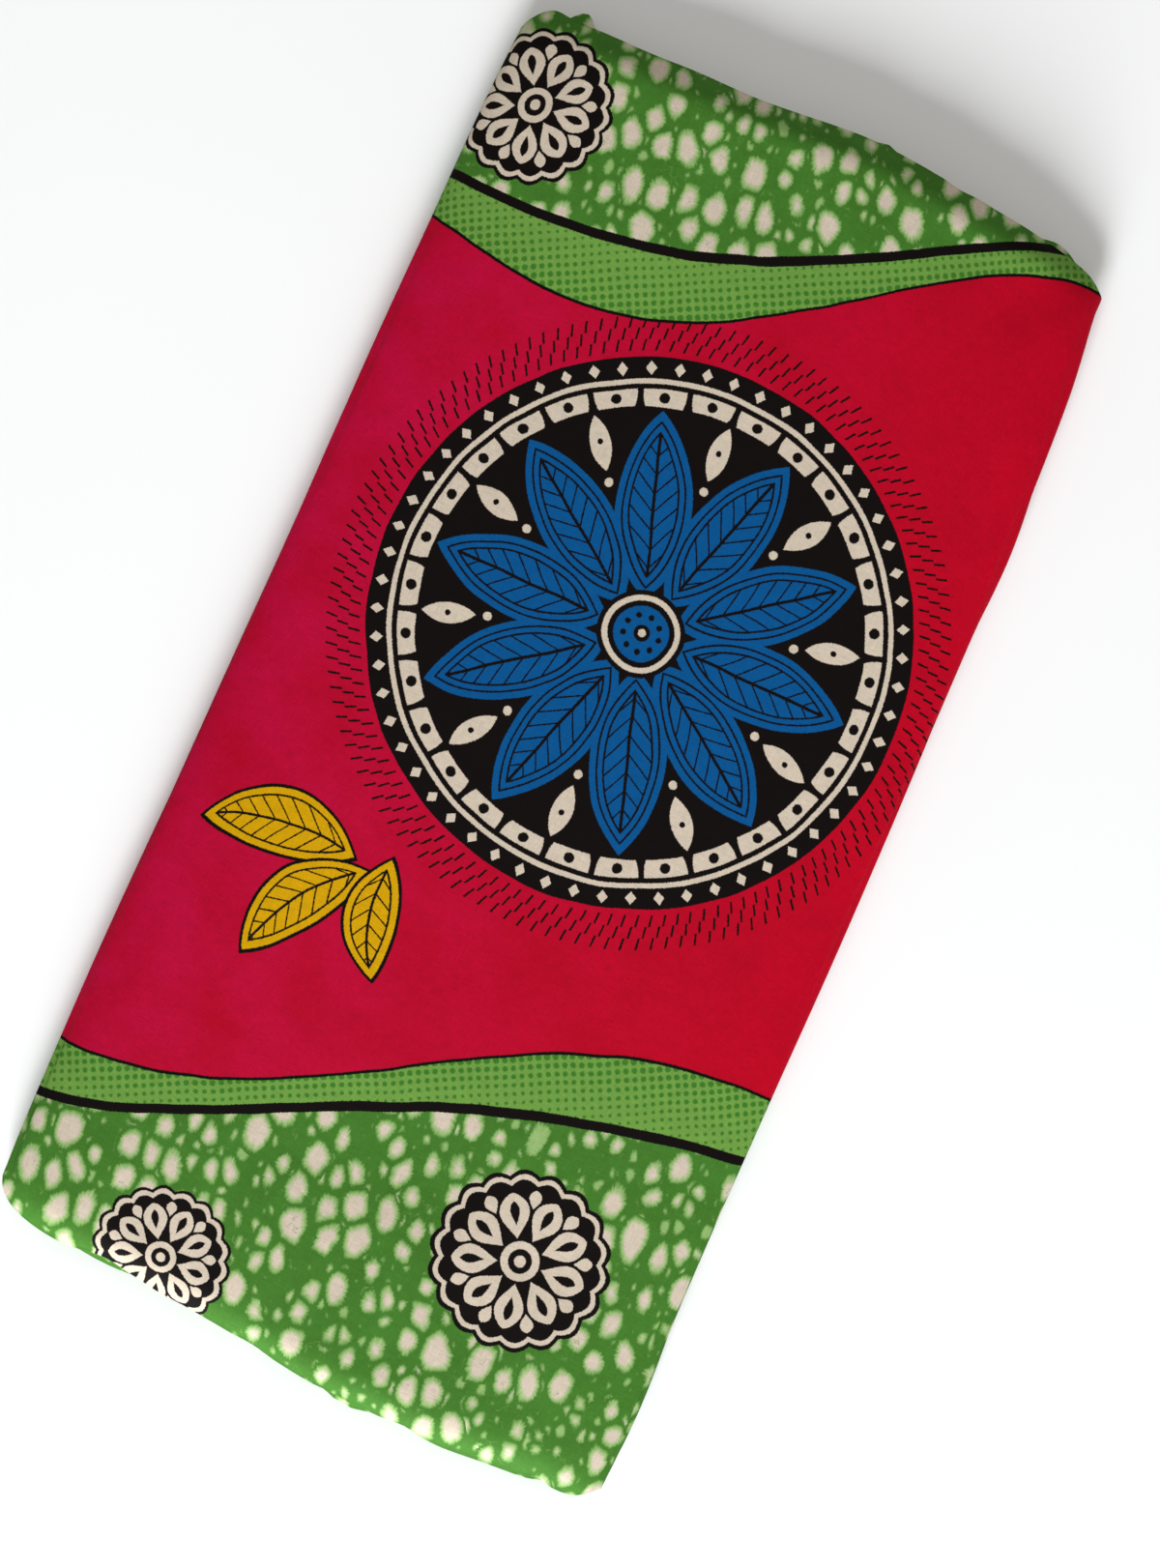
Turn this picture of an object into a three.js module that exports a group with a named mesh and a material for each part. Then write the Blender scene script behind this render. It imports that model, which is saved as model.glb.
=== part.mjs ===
// A length of wax print cotton, folded flat for a shelf. Both selvedges are turned in to the middle of
// the cloth, which makes a double strip half as wide, and that strip is wound flat, turn over turn, into
// a soft packet. The last turn covers the packet: it runs over the top, round both long edges and under,
// where its cut end lies. Both short ends show the turned folds of every lap, one on another.
//
// Millimetres, +Z up. X runs across the packet, Y along it, towards its head end. The origin is the
// middle of the packet's bounding box, on the surface that it lies on.

import * as THREE from "three";

// The cloth's width as it was cut, which the turned selvedges halve, and the width of the wound packet.
const CLOTH_WIDTH = 1170;
const PACKET_WIDTH = 295;
const HALF_LENGTH = CLOTH_WIDTH / 4;
const HALF_WIDTH = PACKET_WIDTH / 2;

// One wall stands for one lap of the double strip, with the air that it holds.
const WALL = 1.5;
const GAP = 0.35;
const LAP_PITCH = WALL + GAP;
const RIM_BULGE = 0.45 * WALL;

// How the section across the packet is rounded.
const TOP_ROUNDING = 3.1;
const UNDER_ROUNDING = 15;

// The cut end of the cloth lies along the packet's underside, beside the lap that runs on above it.
const CUT_END_X = -60;
const CUT_END_SLIT = 2.4;

// The hidden laps, as one solid whose ends are ridged like the folds that they stand for.
const CORE_SETBACK = 5;
const RIDGES = 3;
const RIDGE_DEPTH = 2.2;
const RIDGE_RUN_OUT = 24;
const RIDGE_PROFILE = [-0.62, 0, 0.62, 1];
const RIDGE_WAVES = [
  { width: 41, height: 0.9, shift: 2.3 },
  { width: 17, height: 0.5, shift: 4.1 },
];
const SHOULDER_DRAW = 0.13;
const LID_DRAW = 0.88;

// How far the rolled long edges lie in from half the packet's width, by place along the packet.
const LONG_EDGES = [
  { y: -292, left: 3, right: -1.5 },
  { y: -255, left: 2, right: -2 },
  { y: -120, left: 1.7, right: -0.5 },
  { y: 0, left: 2, right: 0.3 },
  { y: 140, left: 1.7, right: 1.9 },
  { y: 210, left: 2.3, right: 3.9 },
  { y: 255, left: 2.5, right: 6.5 },
  { y: 290, left: 3.5, right: 11.5 },
];

// How far the end folds of the outer lap fall short of half the strip's width, by place across the packet.
const END_FOLDS = [
  { x: -147, head: 16.5, foot: 30.5 },
  { x: -142, head: 7.5, foot: 23.5 },
  { x: -133, head: 1.5, foot: 17.5 },
  { x: -112, head: -0.5, foot: 13 },
  { x: -64, head: -0.5, foot: 10 },
  { x: -22, head: -1, foot: 6 },
  { x: 18, head: -4.5, foot: 1.5 },
  { x: 56, head: -2, foot: 0 },
  { x: 98, head: 2, foot: 1.5 },
  { x: 126, head: 7.5, foot: 3.5 },
  { x: 138, head: 15.5, foot: 6.5 },
  { x: 150, head: 30.5, foot: 18.5 },
];

// The packet's thickness by the distance in from its end folds: its crown, and its rolled edges' middle.
// The walls have a ring at each of these distances, from 0 up to the last one. A fold that stands out
// past the end folds has a distance below 0.
const THICKNESS = [
  { fromEnd: -6, crown: 13, edge: 6.6 },
  { fromEnd: 0, crown: 16.8, edge: 7.6 },
  { fromEnd: 2, crown: 17.9, edge: 8 },
  { fromEnd: 5, crown: 19.2, edge: 8.5 },
  { fromEnd: 9, crown: 20.5, edge: 9 },
  { fromEnd: 15, crown: 21.7, edge: 9.5 },
  { fromEnd: 26, crown: 22.9, edge: 10 },
  { fromEnd: 46, crown: 24, edge: 10.3 },
  { fromEnd: 80, crown: 24.7, edge: 10.5 },
  { fromEnd: 300, crown: 25.2, edge: 10.6 },
];

// Soft swells and hollows of the top, each a long oval. turn is in degrees from the X axis.
const SWELLS = [
  { x: -70, y: 150, turn: 62, length: 120, width: 26, lift: -0.9 },
  { x: 55, y: 95, turn: 78, length: 150, width: 30, lift: 0.7 },
  { x: 20, y: -190, turn: 12, length: 110, width: 22, lift: -0.8 },
  { x: -95, y: -120, turn: 84, length: 130, width: 24, lift: 0.6 },
  { x: 98, y: -205, turn: 70, length: 90, width: 20, lift: -0.7 },
  { x: -20, y: 248, turn: 4, length: 90, width: 16, lift: -0.8 },
];

// Where a fold of the second lap stands out past the outer lap's.
const PEEKING_FOLDS = [
  { end: "head", x: -119, width: 13, out: 5.2 },
  { end: "head", x: 24, width: 11, out: 3.6 },
  { end: "head", x: 112, width: 15, out: 3.2 },
  { end: "foot", x: -88, width: 22, out: 2.4 },
  { end: "foot", x: 34, width: 18, out: 3 },
  { end: "foot", x: 118, width: 14, out: 2.6 },
];
const SECOND_LAP_SETBACK = 1;
const PEEK_SHOULDER = 0.5;

// Sampling: the points of half a ring, and the shares of the packet's middle stretch that have a ring.
const HALF_RING = 22;
const RING = 2 * HALF_RING;
const MIDDLE_SHARES = [0.2, 0.4, 0.6, 0.8];
const END_DISTANCES = THICKNESS.slice(1, -1).map((row) => row.fromEnd);

/** A column of a table as a smooth curve through its rows, at a value of its key column. */
function curveThrough(table, key, column, at) {
  const last = table.length - 1;
  let i = 0;
  while (i < last - 1 && at > table[i + 1][key]) i++;
  const slope = (a, b) => (table[b][column] - table[a][column]) / (table[b][key] - table[a][key]);
  const width = table[i + 1][key] - table[i][key];
  const t = THREE.MathUtils.clamp((at - table[i][key]) / width, 0, 1);
  const startSlope = slope(Math.max(i - 1, 0), i + 1) * width;
  const endSlope = slope(i, Math.min(i + 2, last)) * width;
  const start = table[i][column];
  const end = table[i + 1][column];
  return (
    start * (1 + 2 * t) * (1 - t) ** 2 +
    startSlope * t * (1 - t) ** 2 +
    end * t * t * (3 - 2 * t) +
    endSlope * t * t * (t - 1)
  );
}

/** A column of a table by straight lines between its rows, at a value of its key column. */
function lineThrough(table, key, column, at) {
  const next = table.findIndex((row) => row[key] > at);
  if (next === 0) return table[0][column];
  const [a, b] = table.slice(next - 1, next + 1);
  return THREE.MathUtils.mapLinear(at, a[key], b[key], a[column], b[column]);
}

/** A smooth bump of height 1 that is 0 from width away. */
function bump(distance, width) {
  const t = Math.min(Math.abs(distance) / width, 1);
  return (1 - t * t) ** 2;
}

/** How far the top stands above its even crown at a place. */
function swellAt(x, y) {
  return SWELLS.reduce((sum, s) => {
    const turn = THREE.MathUtils.degToRad(s.turn);
    const dx = x - s.x;
    const dy = y - s.y;
    const along = dx * Math.cos(turn) + dy * Math.sin(turn);
    const across = dy * Math.cos(turn) - dx * Math.sin(turn);
    return sum + s.lift * bump(along, s.length) * bump(across, 2 * s.width);
  }, 0);
}

/** How far the second lap's fold stands out past the outer lap's at an end. */
function peekAt(end, x) {
  const rows = PEEKING_FOLDS.filter((row) => row.end === end);
  const rise = (row) => (row.out + SECOND_LAP_SETBACK) * bump(x - row.x, row.width);
  return rows.reduce((sum, row) => sum + rise(row), -SECOND_LAP_SETBACK);
}

/**
 * The stations of a wall's rings from foot to head. inward(end, x) functions say how far in from the end
 * fold a ring crosses x; the middle stations share out what lies between the innermost of these.
 */
function stationsThrough(inwards) {
  return [
    ...inwards.map((inward) => ({ end: "foot", inward })),
    ...MIDDLE_SHARES.map((middle) => ({ middle })),
    ...inwards.toReversed().map((inward) => ({ end: "head", inward })),
  ];
}

/** Where the end folds of the outer lap lie at a place x. */
function endFoldsAt(x) {
  const head = HALF_LENGTH - curveThrough(END_FOLDS, "x", "head", x);
  const foot = curveThrough(END_FOLDS, "x", "foot", x) - HALF_LENGTH;
  return { head, foot };
}

/** Where a station's ring crosses a place x. */
function placeAlong({ end, inward, middle }, x) {
  const { head, foot } = endFoldsAt(x);
  if (end === "head") return head - inward(end, x);
  if (end === "foot") return foot + inward(end, x);
  const inner = END_DISTANCES.at(-1);
  return THREE.MathUtils.lerp(foot + inner, head - inner, middle);
}

/**
 * A ring round the packet at a station, set in from its outer surface. Its points run from the right edge
 * over the top to the left edge, and back underneath.
 */
function ringAt(station, inset) {
  const evenY = placeAlong(station, 0);
  const left = curveThrough(LONG_EDGES, "y", "left", evenY) - HALF_WIDTH;
  const right = HALF_WIDTH - curveThrough(LONG_EDGES, "y", "right", evenY);
  const middle = (left + right) / 2;
  const half = (right - left) / 2;
  return Array.from({ length: RING }, (_, i) => {
    const under = i >= HALF_RING;
    const step = under ? RING - 1 - i : i;
    const across = Math.cos((Math.PI * (step + 0.5)) / HALF_RING);
    const outerX = middle + half * across;
    const y = placeAlong(station, outerX);
    const { head, foot } = endFoldsAt(outerX);
    const fromEnd = Math.min(head - y, y - foot);
    const edge = lineThrough(THICKNESS, "fromEnd", "edge", fromEnd);
    const x = middle + (half - inset) * across;
    if (under) {
      const round = Math.max(1 - (half * (1 - Math.abs(across))) / UNDER_ROUNDING, 0);
      return new THREE.Vector3(x, y, edge - (edge - inset) * Math.sqrt(1 - round * round));
    }
    const crown = lineThrough(THICKNESS, "fromEnd", "crown", fromEnd) - edge - inset;
    const fall = 1 - Math.abs(across) ** TOP_ROUNDING;
    return new THREE.Vector3(x, y, edge + crown * Math.sqrt(fall) + swellAt(outerX, y) * fall);
  });
}

/** A closed geometry of the named points and faces, turned to face outwards. */
function closedGeometry(points, faces) {
  const volume = faces.reduce((sum, [a, b, c]) => {
    return sum + points[a].dot(new THREE.Vector3().crossVectors(points[b], points[c]));
  }, 0);
  const outward = volume > 0 ? faces : faces.map(([a, b, c]) => [a, c, b]);
  const geometry = new THREE.BufferGeometry().setFromPoints(points);
  geometry.setIndex(outward.flat());
  geometry.computeVertexNormals();
  return geometry;
}

/** Two triangles between four corners that go round. */
function quad(a, b, c, d) {
  return [
    [a, b, c],
    [a, c, d],
  ];
}

/** The faces that join two rings, without the segments that skip says. */
function ringFaces(first, second, skip = () => false) {
  const faces = [];
  for (let i = 0; i < RING; i++) {
    const next = (i + 1) % RING;
    if (!skip(i)) faces.push(...quad(first + i, first + next, second + next, second + i));
  }
  return faces;
}

/** The ring segment, on the underside, in which the cut end lies. */
function cutSegment() {
  const ring = ringAt({ middle: 0.5 }, 0);
  return ring.findIndex((point, i) => i >= HALF_RING && point.x >= CUT_END_X) - 1;
}

/** The middle line of a wall's rounded rim, between the end rings of its two faces. */
function rimRing(outer, inner, direction) {
  return outer.map((point, i) => {
    const middle = point.clone().lerp(inner[i], 0.5);
    middle.y += direction * RIM_BULGE;
    return middle;
  });
}

/** The faces down one side of a slit: column is the ring point that they start from. */
function slitSide(outer, inner, rims, column) {
  const last = outer.length - 1;
  const faces = [
    [outer[0] + column, rims[0] + column, inner[0] + column],
    [outer[last] + column, inner[last] + column, rims[1] + column],
  ];
  for (let s = 0; s < last; s++)
    faces.push(...quad(outer[s + 1] + column, outer[s] + column, inner[s] + column, inner[s + 1] + column));
  return faces;
}

/** One lap of the strip as a wall round the packet. A slit one is open along the cut end underneath. */
function lapGeometry(inset, inwards, slit) {
  const stations = stationsThrough(inwards);
  const last = stations.length - 1;
  const outerRings = stations.map((station) => ringAt(station, inset));
  const innerRings = stations.map((station) => ringAt(station, inset + WALL));
  const cut = slit ? cutSegment() : -1;
  if (slit)
    for (const ring of [...outerRings, ...innerRings]) {
      ring[cut].x = CUT_END_X - CUT_END_SLIT / 2;
      ring[cut + 1].x = CUT_END_X + CUT_END_SLIT / 2;
    }
  const foot = rimRing(outerRings[0], innerRings[0], -1);
  const head = rimRing(outerRings[last], innerRings[last], 1);
  const rings = [...outerRings, ...innerRings, foot, head];
  const starts = rings.map((_, r) => r * RING);
  const outer = starts.slice(0, last + 1);
  const inner = starts.slice(last + 1, 2 * last + 2);
  const rims = starts.slice(-2);
  const skip = (i) => i === cut;
  const faces = [
    ...ringFaces(rims[0], outer[0], skip),
    ...ringFaces(inner[0], rims[0], skip),
    ...ringFaces(outer[last], rims[1], skip),
    ...ringFaces(rims[1], inner[last], skip),
  ];
  for (let s = 0; s < last; s++) {
    faces.push(...ringFaces(outer[s], outer[s + 1], skip));
    faces.push(...ringFaces(inner[s + 1], inner[s], skip));
  }
  if (slit) {
    faces.push(...slitSide(outer, inner, rims, cut));
    faces.push(...slitSide(outer, inner, rims, cut + 1).map(([a, b, c]) => [a, c, b]));
  }
  return closedGeometry(rings.flat(), faces);
}

/** How far a ridge of the core's end stands out past its even depth: the folds under it lie unevenly. */
function ridgeReach(ridge, x) {
  const rise = (wave) => wave.height * Math.sin(x / wave.width + wave.shift * ridge);
  return RIDGE_WAVES.reduce((sum, wave) => sum + rise(wave), 0);
}

/**
 * A ring of the core's ridged end. drawn says how far it is drawn in, from 0 at the core's wall to 1 on
 * its middle line, and crest how far it stands out, from 0 in a groove to 1 on a ridge.
 */
function ridgeRing(wall, end, drawn, ridge, crest) {
  const quarter = HALF_RING >> 1;
  const halfDepth = (wall[quarter].z - wall[RING - 1 - quarter].z) / 2;
  const low = wall[HALF_RING].x + halfDepth;
  const high = wall[0].x - halfDepth;
  return wall.map((point, i) => {
    const middleZ = (point.z + wall[RING - 1 - i].z) / 2;
    const x = THREE.MathUtils.lerp(point.x, THREE.MathUtils.clamp(point.x, low, high), drawn);
    const fromEdge = Math.min(point.x - wall[HALF_RING].x, wall[0].x - point.x);
    const share = Math.min(fromEdge / RIDGE_RUN_OUT, 1);
    const out = crest * share * (RIDGE_DEPTH + ridgeReach(ridge, x));
    const y = point.y + (end === "head" ? out : -out);
    return new THREE.Vector3(x, y, THREE.MathUtils.lerp(point.z, middleZ, drawn));
  });
}

/** The rings of the core's ridged end, from its wall inwards. */
function ridgedEnd(wall, end) {
  const rings = [ridgeRing(wall, end, SHOULDER_DRAW, 0, 0)];
  for (let ridge = 0; ridge < RIDGES; ridge++)
    for (const profile of RIDGE_PROFILE) {
      const step = (ridge + (profile + 1) / 2) / RIDGES;
      const drawn = THREE.MathUtils.lerp(SHOULDER_DRAW, LID_DRAW, step);
      rings.push(ridgeRing(wall, end, drawn, ridge, Math.sqrt(1 - profile * profile)));
    }
  return rings;
}

/** The faces that close a ring, between its upper and its lower half. */
function lidFaces(start) {
  const faces = [];
  for (let i = 0; i < HALF_RING - 1; i++)
    faces.push(...quad(start + i, start + i + 1, start + RING - 2 - i, start + RING - 1 - i));
  return faces;
}

/** All the hidden laps as one solid, ridged at both ends. */
function coreGeometry(inset) {
  const inwards = END_DISTANCES.filter((d) => d >= CORE_SETBACK).map((d) => () => d);
  const walls = stationsThrough(inwards).map((station) => ringAt(station, inset));
  const footEnd = ridgedEnd(walls[0], "foot").toReversed();
  const rings = [...footEnd, ...walls, ...ridgedEnd(walls.at(-1), "head")];
  const lastStart = (rings.length - 1) * RING;
  const faces = [...lidFaces(0).map(([a, b, c]) => [a, c, b]), ...lidFaces(lastStart)];
  for (let start = 0; start < lastStart; start += RING) faces.push(...ringFaces(start, start + RING));
  return closedGeometry(rings.flat(), faces);
}

const printedCotton = new THREE.MeshStandardMaterial({ color: 0xb4132f, roughness: 0.8, metalness: 0 });
const innerCotton = new THREE.MeshStandardMaterial({ color: 0x4a7a39, roughness: 0.85, metalness: 0 });
const foldedEdges = new THREE.MeshStandardMaterial({ color: 0x6f9a55, roughness: 0.85, metalness: 0 });

/** A named mesh. */
function mesh(name, geometry, material) {
  const made = new THREE.Mesh(geometry, material);
  made.name = name;
  return made;
}

const evenRings = END_DISTANCES.map((distance) => () => distance);
const peekingRings = [
  (end, x) => -peekAt(end, x),
  (end, x) => Math.max(PEEK_SHOULDER - peekAt(end, x), 0),
  ...evenRings.slice(1),
];

const packet = new THREE.Group();
packet.add(
  mesh("outer_lap", lapGeometry(0, evenRings, true), printedCotton),
  mesh("second_lap", lapGeometry(LAP_PITCH, peekingRings, false), innerCotton),
  mesh("folded_core", coreGeometry(2 * LAP_PITCH), foldedEdges),
);

const bounds = new THREE.Box3().setFromObject(packet);
const centre = bounds.getCenter(new THREE.Vector3());
packet.position.set(-centre.x, -centre.y, -bounds.min.z);

export default packet;
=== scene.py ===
"""Wax print fabric, folded for a shelf: the laps of the cloth, the print on them, and a small studio.

The cloth is one length of printed cotton. Its selvedges are turned in to its middle, and the double strip
that this gives is wound flat into a packet. Each lap of the strip is a thin wall round the packet.
"""

from __future__ import annotations

import logging
import math
from collections.abc import Callable, Sequence
from dataclasses import dataclass
from enum import Enum
from typing import Any

import bpy
import numpy as np
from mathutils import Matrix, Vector


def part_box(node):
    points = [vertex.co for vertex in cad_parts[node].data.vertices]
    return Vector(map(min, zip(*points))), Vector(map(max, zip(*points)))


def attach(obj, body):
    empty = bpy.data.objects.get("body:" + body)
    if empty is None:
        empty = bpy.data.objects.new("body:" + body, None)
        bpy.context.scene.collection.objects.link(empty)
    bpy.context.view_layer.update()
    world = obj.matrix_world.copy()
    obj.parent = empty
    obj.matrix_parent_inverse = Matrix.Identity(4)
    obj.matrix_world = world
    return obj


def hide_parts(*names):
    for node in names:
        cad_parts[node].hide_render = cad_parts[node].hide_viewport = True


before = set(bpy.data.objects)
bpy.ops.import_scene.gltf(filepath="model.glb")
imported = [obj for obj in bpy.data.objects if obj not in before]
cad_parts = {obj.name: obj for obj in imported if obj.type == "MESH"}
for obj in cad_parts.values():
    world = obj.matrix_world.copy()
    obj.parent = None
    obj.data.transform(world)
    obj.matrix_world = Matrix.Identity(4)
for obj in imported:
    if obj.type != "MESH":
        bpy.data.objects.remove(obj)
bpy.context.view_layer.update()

MM = 0.001
CLOTH_MAP = "cloth"
log = logging.getLogger("wax_print_fabric")

Array = np.ndarray
Station = Callable[[Array], Array]


class End(Enum):
    """The two short ends of the packet, with the way along Y in which each one faces."""

    HEAD = 1
    FOOT = -1


@dataclass(frozen=True)
class LongEdge:
    """How far in the rolled long edges lie at a place along the packet, in millimetres."""

    at: float
    left: float
    right: float


@dataclass(frozen=True)
class EndFold:
    """How far the end folds fall short of half the strip's width at a place across, in millimetres."""

    at: float
    head: float
    foot: float


@dataclass(frozen=True)
class Thickness:
    """The packet's thickness at a distance in from its end folds: crown, and middle of its edges."""

    at: float
    crown: float
    edge: float


@dataclass(frozen=True)
class Crease:
    """A soft trough or ridge of the cloth, a long oval on its top or underside.

    x and y are its middle, turn is in degrees from the X axis, length is half its length and width a
    quarter of its breadth. lift is how far it raises the cloth, below 0 in a trough of the top. Sizes are
    in millimetres.
    """

    x: float
    y: float
    turn: float
    length: float
    width: float
    lift: float

    def height(self, x: Array, y: Array) -> Array:
        """How far the cloth stands out at places.

        Args:
            x: Places across the packet.
            y: Places along the packet.

        Returns:
            The height at each place, in millimetres.
        """
        turn = math.radians(self.turn)
        along = (x - self.x) * math.cos(turn) + (y - self.y) * math.sin(turn)
        across = (y - self.y) * math.cos(turn) - (x - self.x) * math.sin(turn)
        return self.lift * bump(along / self.length) * bump(across / (2 * self.width))


@dataclass(frozen=True)
class SideFold:
    """A soft groove along a long edge, where the laps inside press through the outer one.

    side is -1 on the left and 1 on the right. y is the groove's middle, length half its length, height
    how far up the edge it lies, rise how much it climbs for each millimetre along, width half its breadth.
    depth is below 0 where a lap inside swells the edge out.
    """

    side: int
    y: float
    length: float
    height: float
    rise: float
    width: float
    depth: float

    def push(self, ring: Array) -> Array:
        """How far the groove draws each point of a ring in, in millimetres."""
        y, z = ring[:, 1] - self.y, ring[:, 2] - self.height
        return self.depth * bump(y / self.length) * bump((z - self.rise * y) / self.width)


@dataclass(frozen=True)
class Peek:
    """A stretch of an end fold that stands out past the rest of it, or draws in where out is below 0."""

    end: End
    x: float
    width: float
    out: float


def bump(share: Array) -> Array:
    """A smooth bump of height 1 at 0 that falls to 0 at 1 and beyond."""
    return (1 - np.minimum(np.abs(share), 1) ** 2) ** 2


def curve(rows: Sequence[Any], column: str, at: Array) -> Array:
    """A smooth curve through a table's rows.

    Args:
        rows: Rows of the table, in the order of their at field.
        column: Name of the field that the curve passes through.
        at: Places to read the curve at.

    Returns:
        The curve's value at each place. It is level past both ends of the table.
    """
    keys = np.array([row.at for row in rows], dtype=float)
    values = np.array([getattr(row, column) for row in rows], dtype=float)
    slopes = np.empty_like(values)
    slopes[1:-1] = (values[2:] - values[:-2]) / (keys[2:] - keys[:-2])
    slopes[0] = (values[1] - values[0]) / (keys[1] - keys[0])
    slopes[-1] = (values[-1] - values[-2]) / (keys[-1] - keys[-2])
    at = np.clip(at, keys[0], keys[-1])
    i = np.clip(np.searchsorted(keys, at, side="right") - 1, 0, len(keys) - 2)
    width = keys[i + 1] - keys[i]
    t = (at - keys[i]) / width
    start = values[i] * (1 + 2 * t) * (1 - t) ** 2 + slopes[i] * width * t * (1 - t) ** 2
    return start + values[i + 1] * t * t * (3 - 2 * t) + slopes[i + 1] * width * t * t * (t - 1)


@dataclass(frozen=True)
class PacketForm:
    """The form of the whole packet, in millimetres, from which every lap takes its place.

    top_rounding is the power of the curve that rounds the top off. under_rounding is the breadth over which
    the underside curls up. edge_draw is how far in the long edges of a lap come when it is drawn in whole,
    as a share of their height.
    """

    cloth_width: float = 1170
    packet_width: float = 295
    top_rounding: float = 3.1
    under_rounding: float = 15
    edge_draw: float = 0.8
    long_edges: tuple[LongEdge, ...] = (
        LongEdge(at=-292, left=3, right=-1.5),
        LongEdge(at=-255, left=2, right=-2),
        LongEdge(at=-120, left=1.7, right=-0.5),
        LongEdge(at=0, left=2, right=0.3),
        LongEdge(at=140, left=1.7, right=1.9),
        LongEdge(at=210, left=2.3, right=3.9),
        LongEdge(at=255, left=2.5, right=6.5),
        LongEdge(at=290, left=3.5, right=11.5),
    )
    end_folds: tuple[EndFold, ...] = (
        EndFold(at=-147, head=16.5, foot=30.5),
        EndFold(at=-142, head=6, foot=21),
        EndFold(at=-133, head=-0.2, foot=15),
        EndFold(at=-112, head=-1, foot=11.2),
        EndFold(at=-88, head=0.2, foot=12.4),
        EndFold(at=-64, head=-0.5, foot=10),
        EndFold(at=-22, head=-2.3, foot=5.7),
        EndFold(at=18, head=-4.5, foot=0.4),
        EndFold(at=56, head=-2, foot=-0.6),
        EndFold(at=77, head=-0.3, foot=-0.8),
        EndFold(at=98, head=2, foot=1.5),
        EndFold(at=126, head=7.5, foot=2.5),
        EndFold(at=138, head=15.5, foot=1.8),
        EndFold(at=145, head=23.5, foot=3.8),
        EndFold(at=150, head=30.5, foot=9),
    )
    thickness: tuple[Thickness, ...] = (
        Thickness(at=-6, crown=13, edge=6.6),
        Thickness(at=0, crown=16.8, edge=7.6),
        Thickness(at=2, crown=18.6, edge=8),
        Thickness(at=5, crown=20.6, edge=8.5),
        Thickness(at=9, crown=22.3, edge=9),
        Thickness(at=15, crown=23.4, edge=9.5),
        Thickness(at=26, crown=24.2, edge=10),
        Thickness(at=46, crown=24.7, edge=10.3),
        Thickness(at=80, crown=25, edge=10.5),
        Thickness(at=300, crown=25.2, edge=10.6),
    )
    swells: tuple[Crease, ...] = (
        Crease(x=-70, y=150, turn=62, length=120, width=26, lift=-0.9),
        Crease(x=55, y=95, turn=78, length=150, width=30, lift=0.7),
        Crease(x=20, y=-190, turn=12, length=110, width=22, lift=-0.8),
        Crease(x=-95, y=-120, turn=84, length=130, width=24, lift=0.6),
        Crease(x=98, y=-205, turn=70, length=90, width=20, lift=-0.7),
        Crease(x=-20, y=248, turn=4, length=90, width=16, lift=-0.8),
    )

    def end_line(self, end: End, x: Array) -> Array:
        """Where the outer lap's end fold lies along Y, at places across the packet."""
        column = "head" if end is End.HEAD else "foot"
        return end.value * (self.cloth_width / 4 - curve(self.end_folds, column, x))

    def edge_lines(self, y: float) -> tuple[float, float]:
        """Where the long edges lie along X.

        Args:
            y: A place along the packet.

        Returns:
            The left edge's place and the right edge's.
        """
        half = self.packet_width / 2
        at = np.array([y])
        left = curve(self.long_edges, "left", at)[0] - half
        return float(left), float(half - curve(self.long_edges, "right", at)[0])

    def ring(self, y_of: Station, across: Array, under: Array, inset: float, drawn: float) -> Array:
        """A ring of points round the packet.

        Args:
            y_of: Function that gives the ring's place along Y at places across.
            across: Each point's place across, from -1 at the left edge to 1 at the right edge.
            under: True for each point of the ring's lower half.
            inset: How far the ring lies in from the packet's surface.
            drawn: How far the ring is drawn in besides, from 0 to 1 on the packet's middle line.

        Returns:
            An array with a row of x, y and z for each point.
        """
        left, right = self.edge_lines(float(y_of(np.zeros(1))[0]))
        middle, half = (left + right) / 2, (right - left) / 2
        outer_x = middle + half * across
        y = y_of(outer_x)
        from_end = np.minimum(self.end_line(End.HEAD, outer_x) - y, y - self.end_line(End.FOOT, outer_x))
        edge = curve(self.thickness, "edge", from_end)
        crown = curve(self.thickness, "crown", from_end) - edge
        x = middle + (half - inset - self.edge_draw * drawn * edge) * across
        fall = 1 - np.abs(across) ** self.top_rounding
        round_in = np.maximum(1 - half * (1 - np.abs(across)) / self.under_rounding, 0)
        swell = sum(s.height(outer_x, y) for s in self.swells) * fall
        top = edge + (crown - inset) * (1 - drawn) * np.sqrt(fall) + swell * (1 - drawn)
        bottom = edge - (edge - inset) * (1 - drawn) * np.sqrt(1 - round_in**2)
        return np.stack([x, y, np.where(under, bottom, top)], axis=1)


@dataclass(frozen=True)
class LapPlan:
    """How one lap of the strip is sampled and where it lies. Sizes are in millimetres.

    drawn is how far the outer face is drawn in to the packet's middle, from 0 to 1, and drawn_wall how much
    further the inner face is. end_steps are the distances of its lines from an end fold.
    """

    inset: float
    wall: float = 1.2
    drawn: float = 0.0
    drawn_wall: float = 0.0
    setback: float = 0.0
    rim_bulge: float = 0.65
    half_ring: int = 60
    middle_steps: int = 12
    print_shift: float = 0.0
    cut_end: float | None = None
    peeks: tuple[Peek, ...] = ()
    creases: tuple[Crease, ...] = ()
    under_creases: tuple[Crease, ...] = ()
    side_folds: tuple[SideFold, ...] = ()
    end_steps: tuple[float, ...] = (
        0, 1, 2.2, 3.6, 5.2, 7, 9, 11.5, 14.5, 18, 22, 27, 33, 40, 48, 58, 69, 80
    )


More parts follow.
